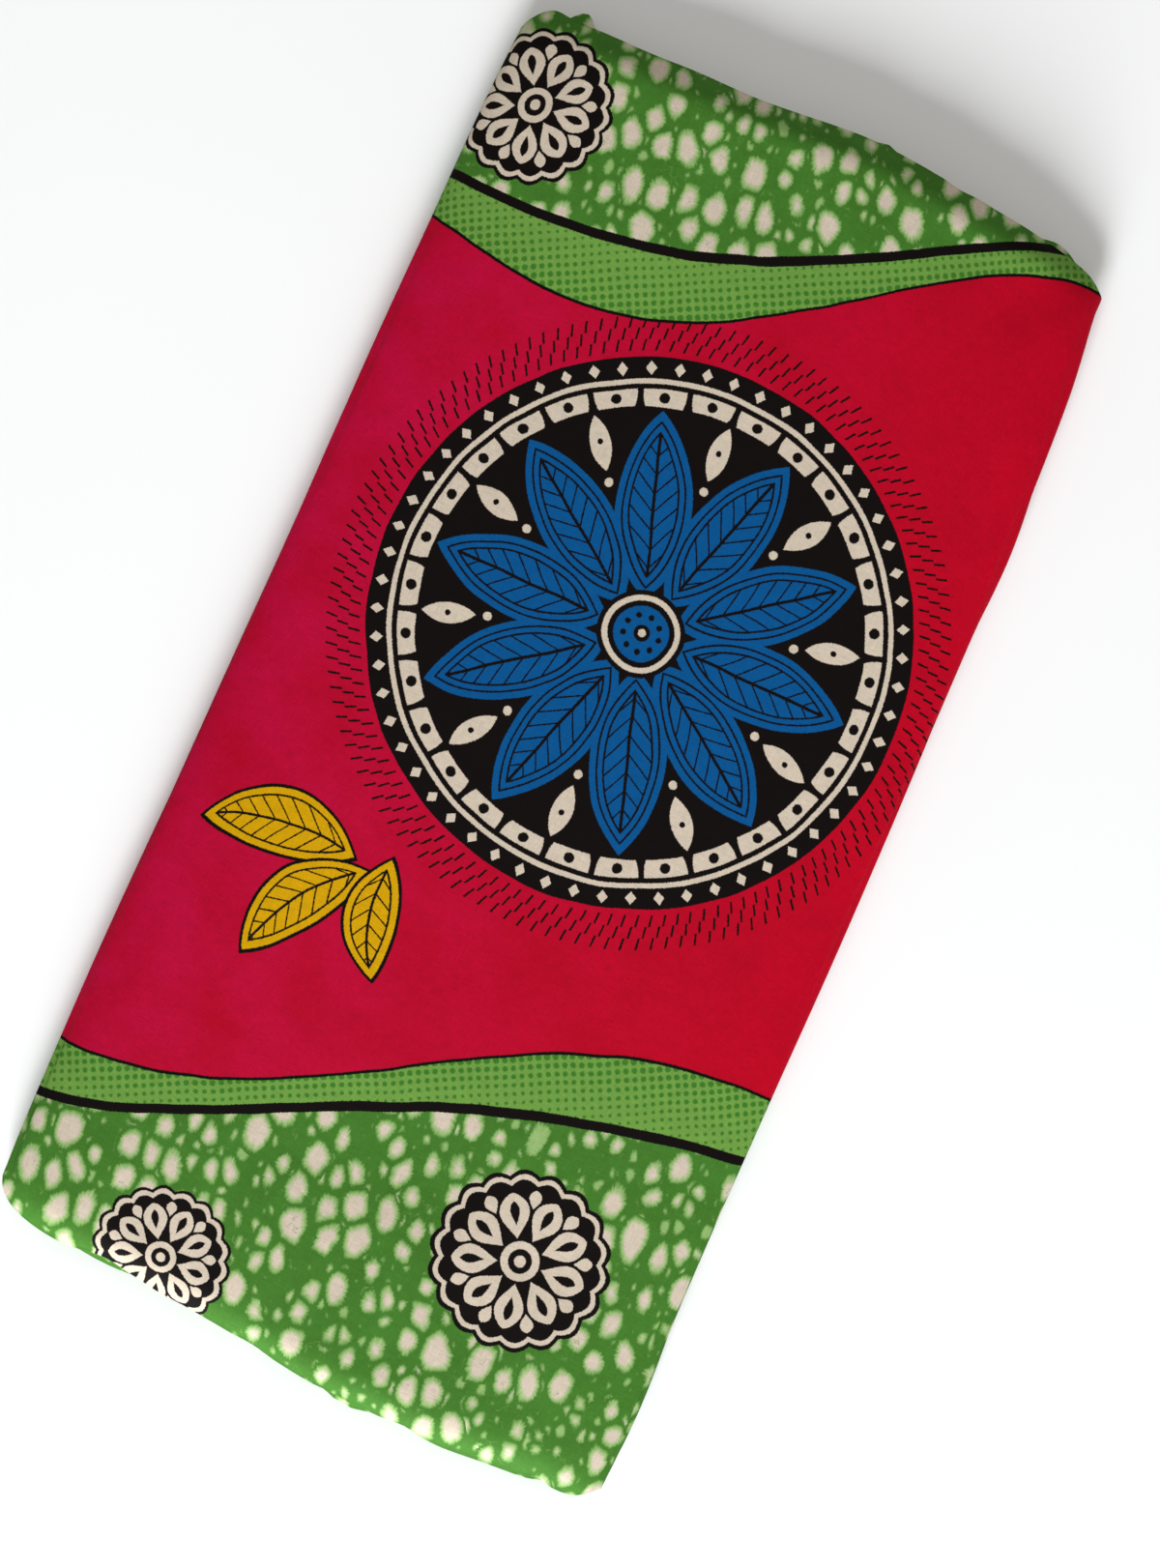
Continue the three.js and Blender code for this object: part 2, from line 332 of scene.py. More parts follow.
class Lap:
    """One lap of the doubled strip, a closed thin wall round the packet with soft rims at both ends.

    rim_steps is odd, so that the two faces of a cut end close with faces of four points, and rim_stretch is
    how much print goes round a rim, in walls. A crease lifts the top and pushes the long edges out. Its
    change from the one to the other follows edge_power, and edge_under is the share that the edges' lower
    half takes. Side folds start at edge_start, the share of the way out, and are whole edge_blend later.
    """

    rim_steps = 5
    rim_stretch = 1.5
    ripple_reach = 45.0
    slit = 2.4
    edge_power = 6
    edge_under = 0.4
    edge_start = 0.9
    edge_blend = 0.07

    def __init__(self, form: PacketForm, plan: LapPlan) -> None:
        """Keeps the packet's form and the lap's own plan."""
        self.form = form
        self.plan = plan

    def _reach(self, end: End, x: Array) -> Array:
        """How far the lap's end fold stands out past the packet's end line."""
        rows = [p for p in self.plan.peeks if p.end is end]
        return sum((p.out * bump((x - p.x) / p.width) for p in rows), np.zeros_like(x)) - self.plan.setback

    def _station(self, end: End, inward: float) -> Station:
        """A line across the lap that follows one end fold and fades to a straight one further in.

        Args:
            end: The end fold that it follows.
            inward: How far in from the end fold it lies.

        Returns:
            A function that gives its place along Y at places across.
        """
        fade = max(1 - inward / self.ripple_reach, 0) ** 2

        def y_of(x: Array) -> Array:
            """Y at places across."""
            return self.form.end_line(end, x) + end.value * (self._reach(end, x) * fade - inward)

        return y_of

    def _middle_station(self, share: float) -> Station:
        """A line across the lap, between the innermost lines of its two ends.

        Args:
            share: How far it lies from the foot to the head, from 0 to 1.

        Returns:
            A function that gives its place along Y at places across.
        """
        inner = self.plan.end_steps[-1]
        foot, head = self._station(End.FOOT, inner), self._station(End.HEAD, inner)
        return lambda x: foot(x) * (1 - share) + head(x) * share

    def _stations(self) -> list[Station]:
        """All the lines across one face of the wall.

        Returns:
            The lines, from foot to head.
        """
        steps = self.plan.end_steps
        shares = np.linspace(0, 1, self.plan.middle_steps + 2)[1:-1]
        return [
            *(self._station(End.FOOT, s) for s in steps),
            *(self._middle_station(float(s)) for s in shares),
            *(self._station(End.HEAD, s) for s in reversed(steps)),
        ]

    def _spread(self) -> tuple[Array, Array]:
        """Spreads the points of a ring over the top and the underside.

        Returns:
            Places across from -1 to 1, and a mask of those underneath. A lap with a cut end starts there.
        """
        half = self.plan.half_ring
        step = np.concatenate([np.arange(half), np.arange(half)[::-1]])
        across = np.cos(np.pi * (step + 0.5) / half)
        under = np.arange(2 * half) >= half
        if self.plan.cut_end is None:
            return across, under
        left, right = self.form.edge_lines(0)
        cut = (self.plan.cut_end - (left + right) / 2) / ((right - left) / 2)
        start = half + int(np.searchsorted(across[half:], cut))
        return np.roll(across, -start), np.roll(under, -start)

    def _lay(self, y_of: Station, across: Array, under: Array, depth: float) -> Array:
        """Lays one ring of the wall, with the lap's creases and side folds.

        Args:
            y_of: The line across that the ring follows.
            across: Each point's place across, from -1 to 1.
            under: True for each point of the lower half.
            depth: 0 on the wall's outer face and 1 on its inner one.

        Returns:
            An array with a row of x, y and z for each point.
        """
        plan = self.plan
        inset = plan.inset + plan.wall * depth
        ring = self.form.ring(y_of, across, under, inset, plan.drawn + plan.drawn_wall * depth)
        side = np.abs(across) ** self.edge_power
        if plan.creases:
            lift = sum(c.height(ring[:, 0], ring[:, 1]) for c in plan.creases)
            ring[:, 2] += np.where(under, 0, lift * (1 - side))
            ring[:, 0] += np.sign(across) * lift * side * np.where(under, self.edge_under, 1)
        for crease in plan.under_creases:
            lift = crease.height(ring[:, 0], ring[:, 1]) * (1 - side)
            ring[:, 2] += np.where(under, lift, 0)
        outermost = np.clip((np.abs(across) - self.edge_start) / self.edge_blend, 0, 1)
        for fold in plan.side_folds:
            ring[:, 0] -= fold.side * fold.push(ring) * outermost * (across * fold.side > 0)
        return ring

    def _cloth_places(self, faces: list[Array]) -> Array:
        """How far round the cloth each column of points lies.

        Args:
            faces: The rings of the wall's outer face.

        Returns:
            Each column's distance from the middle of the top, and one more for the closing column.
        """
        ring = faces[len(faces) // 2]
        steps = np.linalg.norm(np.diff(ring[:, [0, 2]], axis=0), axis=1)
        places = np.concatenate([[0], np.cumsum(steps)])
        top = np.where(ring[:, 2] > self.form.thickness[-1].edge)[0]
        middle = top[np.argmin(np.abs(ring[top, 0]))]
        turn = steps.sum() + float(np.linalg.norm(ring[0, [0, 2]] - ring[-1, [0, 2]]))
        return places[middle] - np.append(places, turn)

    def build(self) -> tuple[Array, Array, Array]:
        """Makes the wall's points, faces and cloth places.

        Returns:
            Points in millimetres, faces of four point numbers, and a cloth place for each face corner.
        """
        across, under = self._spread()
        stations = self._stations()
        outer = [self._lay(s, across, under, 0) for s in stations]
        inner = [self._lay(s, across, under, 1) for s in stations]
        if self.plan.cut_end is not None:
            for ring in (*outer, *inner):
                ring[0, 0] = self.plan.cut_end + self.slit / 2
                ring[-1, 0] = self.plan.cut_end - self.slit / 2
        rims = {end: self._rim(outer[i], inner[i], end) for end, i in ((End.FOOT, 0), (End.HEAD, -1))}
        middle = len(stations) // 2
        loop = [
            *inner[:middle][::-1],
            *rims[End.FOOT][::-1],
            *outer,
            *rims[End.HEAD],
            *inner[middle:][::-1],
        ]
        along = self._along(outer, inner, middle)
        turn = middle + self.rim_steps // 2
        return self._skin(np.array(loop), self._cloth_places(outer), along, turn)

    def _rim(self, outer: Array, inner: Array, end: End) -> list[Array]:
        """The rings that round the wall at one of its end folds.

        Args:
            outer: The last ring of the outer face.
            inner: The last ring of the inner face.
            end: The end where they lie.

        Returns:
            The rings, from the outer to the inner face.
        """
        rings = []
        for step in range(1, self.rim_steps):
            angle = math.pi * step / self.rim_steps
            ring = outer + (inner - outer) * (1 - math.cos(angle)) / 2
            ring[:, 1] += end.value * self.plan.rim_bulge * math.sin(angle)
            rings.append(ring)
        return rings

    def _along(self, outer: list[Array], inner: list[Array], middle: int) -> Array:
        """Places along the cloth for each ring of the loop, so that the print runs on round both ends.

        Args:
            outer: The rings of the outer face.
            inner: The rings of the inner face.
            middle: Where the loop starts and ends on the inner face.

        Returns:
            A row for each ring, with a place for each of its points.
        """
        turn = np.linspace(0, self.plan.wall * self.rim_stretch, self.rim_steps + 1)
        foot, head = outer[0][:, 1], outer[-1][:, 1]
        rows = [2 * foot - ring[:, 1] - turn[-1] for ring in inner[:middle][::-1]]
        rows += [foot - t for t in turn[1:-1][::-1]]
        rows += [ring[:, 1] for ring in outer]
        rows += [head + t for t in turn[1:-1]]
        rows += [2 * head - ring[:, 1] + turn[-1] for ring in inner[middle:][::-1]]
        return np.array(rows)

    def _skin(self, loop: Array, places: Array, along: Array, turn: int) -> tuple[Array, Array, Array]:
        """Joins the rings of a loop to one closed skin, with the cloth place of each face corner.

        Args:
            loop: The rings, in order round the wall's profile.
            places: Each column's place across the cloth, and one more for the closing column.
            along: Each point's place along the cloth.
            turn: The ring where the loop turns from the inner face to the outer one, at the foot.

        Returns:
            Points, faces and corner places, as build gives them.
        """
        rings, columns = loop.shape[:2]
        open_cut = self.plan.cut_end is not None
        across = np.arange(columns - 1 if open_cut else columns)
        ring, column = (a.ravel() for a in np.meshgrid(np.arange(rings), across, indexing="ij"))
        next_ring, next_column = (ring + 1) % rings, (column + 1) % columns
        faces = np.stack(
            [
                ring * columns + column,
                ring * columns + next_column,
                next_ring * columns + next_column,
                next_ring * columns + column,
            ],
            axis=1,
        )
        u = np.stack([places[column], places[column + 1], places[column + 1], places[column]], axis=1)
        v = along.ravel()[faces]
        if open_cut:
            for side, order in ((0, [0, 1, 2, 3]), (columns - 1, [0, 3, 2, 1])):
                quads, prints = self._cut_side(along, turn, side)
                faces = np.concatenate([faces, quads[:, order]])
                u = np.concatenate([u, np.full(quads.shape, places[side])])
                v = np.concatenate([v, prints[:, order]])
        u = u + self.plan.print_shift
        return loop.reshape(-1, 3), faces, np.stack([u, v], axis=2).reshape(-1, 2)

    def _cut_side(self, along: Array, turn: int, side: int) -> tuple[Array, Array]:
        """Closes the wall along one side of its cut, from the outer face to the inner one.

        Args:
            along: Each point's place along the cloth.
            turn: The ring where the loop turns from the inner face to the outer one, at the foot.
            side: The column that runs along the cut.

        Returns:
            Faces of four point numbers, and the place along the cloth of each of their corners.
        """
        rings, columns = along.shape
        outward = (turn + np.arange(rings // 2)) % rings
        inward = (turn - 1 - np.arange(rings // 2)) % rings
        out, back = outward * columns + side, inward * columns + side
        line = along[outward, side]
        quads = np.stack([out[:-1], out[1:], back[1:], back[:-1]], axis=1)
        return quads, np.stack([line[:-1], line[1:], line[1:], line[:-1]], axis=1)


class ClothPiece:
    """A named piece of cloth, made from one lap or from several laps that lie in each other."""

    def __init__(self, name: str, slot: str, node: str, laps: Sequence[Lap], offset: Vector) -> None:
        """Keeps what the piece is made from.

        Args:
            name: The piece's name.
            slot: The name of a material slot, which is not used.
            node: The CAD node that it stands for.
            laps: The laps that it joins.
            offset: Where the form's own origin lies in the part's frame, in metres.
        """
        self.name = name
        self.slot = slot
        self.node = node
        self.laps = laps
        self.offset = offset

    def build(self, finish: bpy.types.Material) -> bpy.types.Object:
        """Makes the mesh, dresses it and puts it in place of its CAD node.

        Args:
            finish: The cloth's material.

        Returns:
            The new object.
        """
        points, faces, corners, start = [], [], [], 0
        for lap in self.laps:
            lap_points, lap_faces, lap_corners = lap.build()
            points.append(lap_points * MM)
            faces.append(lap_faces + start)
            corners.append(lap_corners * MM)
            start += len(lap_points)
        mesh = bpy.data.meshes.new(self.name)
        places = np.concatenate(points) + np.array(self.offset)
        mesh.from_pydata(places.tolist(), [], np.concatenate(faces).tolist())
        mesh.uv_layers.new(name=CLOTH_MAP).uv.foreach_set("vector", np.concatenate(corners).ravel())
        if signed_volume(mesh) < 0:
            mesh.flip_normals()
        mesh.shade_smooth()
        mesh.materials.append(finish)
        piece = bpy.data.objects.new(self.name, mesh)
        bpy.context.scene.collection.objects.link(piece)
        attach(piece, "root")
        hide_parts(self.node)
        log.info("%s: %d points, %d faces", self.name, len(mesh.vertices), len(mesh.polygons))
        return piece


def signed_volume(mesh: bpy.types.Mesh) -> float:
    """Measures what a closed mesh of quads holds.

    Args:
        mesh: The mesh.

    Returns:
        Six times its volume, below 0 where it is inside out.
    """
    points = np.empty(3 * len(mesh.vertices))
    mesh.vertices.foreach_get("co", points)
    corners = np.empty(len(mesh.loops), dtype=np.int64)
    mesh.loops.foreach_get("vertex_index", corners)
    a, b, c, d = points.reshape(-1, 3)[corners.reshape(-1, 4)].transpose(1, 0, 2)
    return float(np.sum(np.cross(b - a, d - a) * a) + np.sum(np.cross(c - b, d - b) * b))


class Num:
    """A number in a shader, whose operators add Math nodes."""

    def __init__(self, graph: Graph, socket: bpy.types.NodeSocket) -> None:
        """Wraps a socket of a graph."""
        self.graph = graph
        self.socket = socket

    def _math(self, operation: str, *values: Any, clamp: bool = False) -> Num:
        """A Math node on values."""
        settings = {"operation": operation, "use_clamp": clamp}
        return Num(self.graph, self.graph.node("ShaderNodeMath", settings, list(values)).outputs[0])

    def __add__(self, other: Num | float) -> Num:
        """Sum."""
        return self._math("ADD", self, other)

    def __sub__(self, other: Num | float) -> Num:
        """Difference."""
        return self._math("SUBTRACT", self, other)

    def __rsub__(self, other: float) -> Num:
        """Difference from a plain number."""
        return self._math("SUBTRACT", other, self)

    def __mul__(self, other: Num | float) -> Num:
        """Product."""
        return self._math("MULTIPLY", self, other)

    def __truediv__(self, other: Num | float) -> Num:
        """Quotient."""
        return self._math("DIVIDE", self, other)

    def __pow__(self, other: float) -> Num:
        """Power."""
        return self._math("POWER", self, other)

    def __abs__(self) -> Num:
        """Size without its sign."""
        return self._math("ABSOLUTE", self)

    def __and__(self, other: Num) -> Num:
        """What two masks share, or where two distances are both inside."""
        return self._math("MULTIPLY", self, other)

    def __or__(self, other: Num) -> Num:
        """What either of two masks covers."""
        return self._math("MAXIMUM", self, other)

    def most(self, other: Num | float) -> Num:
        """The larger of two numbers."""
        return self._math("MAXIMUM", self, other)

    def soft_most(self, other: Num | float, soft: float) -> Num:
        """The larger of two numbers, with a rounded step from one to the other."""
        return self._math("SMOOTH_MAX", self, other, soft)

    def least(self, other: Num | float) -> Num:
        """The smaller of two numbers."""
        return self._math("MINIMUM", self, other)

    def sine(self) -> Num:
        """Sine of an angle in radians."""
        return self._math("SINE", self)

    def cosine(self) -> Num:
        """Cosine of an angle in radians."""
        return (self + math.pi / 2).sine()

    def part(self) -> Num:
        """What is left above the whole number below."""
        return self._math("FRACT", self)

    def wrapped(self, period: float) -> Num:
        """The number, moved by whole periods to lie round 0."""
        return self._math("WRAP", self, period / 2, -period / 2)

    def inside(self, soft: float) -> Num:
        """A mask of 1 where a distance is below 0, with an edge that is soft wide."""
        return self._math("MULTIPLY_ADD", self, -1 / soft, 0.5, clamp=True)

    def share(self, low: float, high: float) -> Num:
        """How far the number is from low to high, kept between 0 and 1."""
        return self._math("MULTIPLY_ADD", self, 1 / (high - low), -low / (high - low), clamp=True)

    def length_with(self, other: Num) -> Num:
        """The length of the vector that two numbers make."""
        return (self * self + other * other) ** 0.5

    def angle_from(self, other: Num) -> Num:
        """The angle of the vector whose parts are other along and this number up."""
        return self._math("ARCTAN2", self, other)

    def leaf_with(self, beside: Num, half_length: float, half_breadth: float) -> Num:
        """How far a place lies past the rim of a leaf that is pointed at both ends.

        Args:
            beside: The place beside the leaf's midrib. This number is its place along it from the middle.
            half_length: Half the leaf's length.
            half_breadth: Half its breadth.

        Returns:
            The distance, below 0 inside.
        """
        radius = (half_length**2 + half_breadth**2) / (2 * half_breadth)
        return self.length_with(abs(beside) + (radius - half_breadth)) - radius


class Graph:
    """A material's nodes, and the way in which new ones are added.

    mix_inputs are the sockets of a Mix node for its share and its two colours, and mix_output is the one
    that gives the mixed colour.
    """

    mix_inputs = (0, 6, 7)
    mix_output = 2

    def __init__(self, material: bpy.types.Material) -> None:
        """Starts an empty node tree on a material."""
        material.use_nodes = True
        self.tree = material.node_tree
        self.tree.nodes.clear()

    def node(
        self, kind: str, settings: dict[str, Any], inputs: list[Any] | dict[Any, Any]
    ) -> bpy.types.Node:
        """Adds a node.

        Args:
            kind: The node's type.
            settings: Properties that are set first.
            inputs: Values, Nums or sockets for its inputs, in their order or by their names.

        Returns:
            The new node.
        """
        made = self.tree.nodes.new(kind)
        for name, value in settings.items():
            setattr(made, name, value)
        pairs = inputs.items() if isinstance(inputs, dict) else enumerate(inputs)
        for key, value in pairs:
            source = value.socket if isinstance(value, Num) else value
            if isinstance(source, bpy.types.NodeSocket):
                self.tree.links.new(source, made.inputs[key])
            else:
                made.inputs[key].default_value = source
        return made

    def read(self, node: bpy.types.Node, output: int | str = 0) -> Num:
        """One of a node's outputs, as a number."""
        return Num(self, node.outputs[output])

    def vector(self, x: Num, y: Num) -> bpy.types.NodeSocket:
        """A flat vector from two numbers."""
        return self.node("ShaderNodeCombineXYZ", {}, [x, y]).outputs[0]

    def parts(self, vector: bpy.types.NodeSocket) -> tuple[Num, Num, Num]:
        """The three parts of a vector or colour."""
        outputs = self.node("ShaderNodeSeparateXYZ", {}, [vector]).outputs
        return Num(self, outputs[0]), Num(self, outputs[1]), Num(self, outputs[2])

    def noise(self, place: bpy.types.NodeSocket, size: float, detail: float = 1.0) -> bpy.types.Node:
        """Soft noise whose lumps are size wide, in millimetres, with finer ones where detail is more."""
        inputs = {"Vector": place, "Scale": 1 / size, "Detail": detail}
        return self.node("ShaderNodeTexNoise", {"noise_dimensions": "2D"}, inputs)

    def cells(self, place: Any, size: float, feature: str = "F1", jitter: float = 1.0) -> bpy.types.Node:
        """Random cells.

        Args:
            place: Where on the cloth they are read.
            size: How wide they are, in millimetres.
            feature: What of them is measured.
            jitter: How far their middles stray, from 0 to 1.

        Returns:
            The new node.
        """
        settings = {"voronoi_dimensions": "2D", "feature": feature}
        inputs = {"Vector": place, "Scale": 1 / size, "Randomness": jitter}
        return self.node("ShaderNodeTexVoronoi", settings, inputs)

    def mix(self, share: Num | float, first: Any, second: Any, blend: str = "MIX") -> bpy.types.NodeSocket:
        """Mixes two colours.

        Args:
            share: How much of the second one shows.
            first: Colour or socket.
            second: Colour or socket.
            blend: How the second one is laid on.

        Returns:
            The mixed colour's socket.
        """
        settings = {"data_type": "RGBA", "blend_type": blend}
        made = self.node("ShaderNodeMix", settings, dict(zip(self.mix_inputs, (share, first, second))))
        return made.outputs[self.mix_output]


def ink(red: int, green: int, blue: int) -> tuple[float, float, float, float]:
    """A colour from its screen values of 0 to 255."""
    shares = [c / 255 for c in (red, green, blue)]
    linear = [c / 12.92 if c <= 0.04 else ((c + 0.055) / 1.055) ** 2.4 for c in shares]
    return (linear[0], linear[1], linear[2], 1.0)


@dataclass(frozen=True)
class Inks:
    """The colours that the cloth is printed in."""

    crimson: tuple[float, ...] = ink(176, 2, 30)
    # A pinker crimson: a painted cool sheen of the light, laid on one side of the repeat, not a colour of
    # the dye.
    sheen_pink_crimson: tuple[float, ...] = ink(176, 8, 54)
    deep_crimson: tuple[float, ...] = ink(165, 2, 29)
    blue: tuple[float, ...] = ink(5, 77, 133)
    green: tuple[float, ...] = ink(64, 115, 40)
    deep_green: tuple[float, ...] = ink(61, 108, 36)
    pale_green: tuple[float, ...] = ink(103, 145, 63)
    dot_green: tuple[float, ...] = ink(58, 112, 36)
    fringe: tuple[float, ...] = ink(132, 168, 98)
    cream: tuple[float, ...] = ink(196, 182, 164)
    yellow: tuple[float, ...] = ink(198, 150, 4)
    black: tuple[float, ...] = ink(14, 9, 8)


@dataclass
class Canvas:
    """The cloth while it is printed: u runs across and v along, in millimetres, and colour lies on it."""

    graph: Graph
    u: Num
    v: Num
    grain: Num
    inks: Inks
    colour: Any
    repeat: float
    edge: float = 0.35

    def lay(self, mask: Num, colour: Any) -> None:
        """Prints a colour where a mask is 1."""
        self.colour = self.graph.mix(mask, self.colour, colour)

    def fill(self, distance: Num, colour: Any) -> None:
        """Prints a colour where a distance is below 0."""
        self.lay(distance.inside(self.edge), colour)

    def stroke(self, distance: Num, width: float, colour: Any) -> None:
        """Prints a line of a width along a distance's zero line."""
        self.fill(abs(distance) - width / 2, colour)

    def around(self, u: float, v: float) -> tuple[Num, Num]:
        """The place on the cloth from a motif's middle, which comes again at each repeat."""
        return (self.u - u).wrapped(self.repeat), self.v - v


@dataclass(frozen=True)
class Ribbon:
    """A winding pale ribbon with graded dots, between a fine and a bold outline.

    Past its bold outline lies the field of wax bubbles. side is 1 where that field lies above it. narrowing
    is how much of its breadth comes and goes along it, and bold_inner how much of the bold line lies on it.
    """

    level: float
    sway: float
    phase: float
    breadth: float
    side: int
    second_sway: float
    taper: float
    second_phase: float = -1.1
    narrowing: float = 0.42
    fine: float = 1.4
    bold: float = 4.3
    bold_inner: float = 0.4
    dot_pitch: float = 3.7
    dot_turn: float = 27.0
    dot_ragged: float = 0.5
    dot_soft: float = 0.55
    big_dot: float = 1.4
    small_dot: float = 0.65

    def distance(self, canvas: Canvas) -> Num:
        """How far each place lies past the ribbon's bold line.

        Args:
            canvas: The cloth.

        Returns:
            The distance, above 0 on the side of the field.
        """
        turn = 2 * math.pi / canvas.repeat
        angle = canvas.u * turn + self.phase
        second = (angle * 2 + self.second_phase).sine() * self.second_sway
        height = angle.sine() * self.sway + second + self.level
        slope = angle.cosine() * (self.sway * turn)
        return (canvas.v - height) * self.side / (slope * slope + 1) ** 0.5

    def paint(self, canvas: Canvas, past: Num) -> None:
        """Prints the ribbon.

        Args:
            canvas: The cloth.
            past: The distance past its bold line.
        """
        turn = 2 * math.pi / canvas.repeat
        narrowing = self.narrowing * self.breadth
        breadth = (canvas.u * (2 * turn) + self.taper).sine() * narrowing + self.breadth
        share = (past + breadth) / breadth
        body = (0 - past - breadth).most(past)
        canvas.fill(body, canvas.inks.pale_green)
        angle = math.radians(self.dot_turn)
        a = (canvas.u * math.cos(angle) + canvas.v * math.sin(angle)) * (1 / self.dot_pitch)
        b = (canvas.v * math.cos(angle) - canvas.u * math.sin(angle)) * (1 / self.dot_pitch)
        spot = (a.part() - 0.5).length_with(b.part() - 0.5) * self.dot_pitch
        size = share * (self.small_dot - self.big_dot) + self.big_dot
        dots = (spot - size + (canvas.grain - 0.5) * self.dot_ragged).inside(self.dot_soft)
        canvas.lay(dots & body.inside(canvas.edge), canvas.inks.dot_green)
        canvas.stroke(past + breadth, self.fine, canvas.inks.black)
        inner, outer = self.bold * self.bold_inner, self.bold * (1 - self.bold_inner)
        canvas.fill((0 - past - inner).most(past - outer), canvas.inks.black)


@dataclass(frozen=True)
class Bubbles:
    """One size of the ovals that drops of wax leave on dyed ground, each of its own size and lean.

    Sizes are in millimetres and angles in radians. All ovals are stretched along one lean. The share
    pale of them stays pale green all through. size_power above 1 makes small ones more common. rays and
    ray_step say how the teeth round a rim are read from noise, and gap_teeth how high they are where two
    ovals meet. The share room of the way to the nearest other one is the most that an oval takes.
    """

    cell: float
    least: float
    spread: float
    longest: float
    teeth: float
    pale: float
    shift: float = 0.0
    lean: float = 1.73
    stretch: float = 1.3
    turn_spread: float = 1.5
    jitter: float = 0.78
    room: float = 0.94
    gap: float = 0.9
    gap_teeth: float = 0.8
    gap_soft: float = 2.2
    size_power: float = 1.3
    rays: float = 7.0
    ray_step: float = 97.0
    fringe: float = 1.35
    fringe_soft: float = 1.1
    cream_soft: float = 1.5
    pale_soft: float = 0.02
    kind_mix: float = 7.3
    chance_mix: float = 3.1

    def past(self, canvas: Canvas, ragged: Num) -> tuple[Num, Num]:
        """How far each place lies past the rim of its oval.

        Args:
            canvas: The cloth.
            ragged: A soft unevenness that is added to the rims.

        Returns:
            The distance, below 0 inside, and each oval's own random number.
        """
        graph = canvas.graph
        sine, cosine = math.sin(self.lean), math.cos(self.lean)
        a = (canvas.u * cosine + canvas.v * sine + self.shift) * (1 / self.stretch)
        place = graph.vector(a, canvas.v * cosine - canvas.u * sine)
        drops = graph.cells(place, self.cell, jitter=self.jitter)
        minus = {"operation": "SUBTRACT"}
        away = graph.node("ShaderNodeVectorMath", minus, [place, drops.outputs["Position"]])
        ahead, beside, _ = graph.parts(away.outputs[0])
        chance, tilt, kind = graph.parts(drops.outputs["Color"])
        turn = (tilt - 0.5) * self.turn_spread
        turn_sine, turn_cosine = turn.sine(), turn.cosine()
        along = (ahead * turn_cosine + beside * turn_sine) / (kind * (self.longest - 1) + 1)
        across = beside * turn_cosine - ahead * turn_sine
        spheres = graph.cells(place, self.cell, "N_SPHERE_RADIUS", self.jitter)
        most = graph.read(spheres, "Radius") * (self.room * self.cell)
        size = (chance**self.size_power * self.spread + self.least).least(most)
        round_oval = graph.vector(across.angle_from(along) * self.rays, tilt * self.ray_step)
        rays = graph.read(graph.noise(round_oval, 1.0)) - 0.5
        oval = along.length_with(across) - size + ragged + rays * self.teeth
        edges = graph.cells(place, self.cell, "DISTANCE_TO_EDGE", self.jitter)
        border = graph.read(edges, "Distance") * self.cell
        rim = oval.soft_most(self.gap - border + rays * self.gap_teeth, self.gap_soft)
        return rim, (kind * self.kind_mix + chance * self.chance_mix).part()

    def paint(self, canvas: Canvas, ground: Any, past: Num, chance: Num, free: Num | float) -> Any:
        """Lays the ovals on a ground.

        Args:
            canvas: The cloth.
            ground: The colour under them.
            past: The distance past their rims.
            chance: Each oval's random number.
            free: A mask of the places that they may take.

        Returns:
            The colour with the ovals on it.
        """
        graph, inks = canvas.graph, canvas.inks
        ground = graph.mix(past.inside(self.fringe_soft) * free, ground, inks.fringe)
        bare = chance.share(self.pale, self.pale + self.pale_soft) * free
        return graph.mix((past + self.fringe).inside(self.cream_soft) * bare, ground, inks.cream)


@dataclass(frozen=True)
class Crack:
    """One kind of the fine cracks in the wax. Sizes are in millimetres.

    It shows where a noise passes from the first to the second of patches, and clear or further from the
    rims of the large ovals. strength is how much of its colour shows.
    """

    half_width: float
    soft: float
    patches: tuple[float, float]
    clear: float
    clear_soft: float
    strength: float

    def mask(self, line: Num, patch: Num, away: Num) -> Num:
        """Where the crack shows.

        Args:
            line: The distance from the nearest line that could crack.
            patch: The noise that picks the patches.
            away: The distance from the large ovals' rims, above 0 on the crack's own side of them.

        Returns:
            The share of its colour at each place.
        """
        cracked = (line - self.half_width).inside(self.soft) * patch.share(*self.patches)
        return cracked * (self.clear - away).inside(self.clear_soft) * self.strength


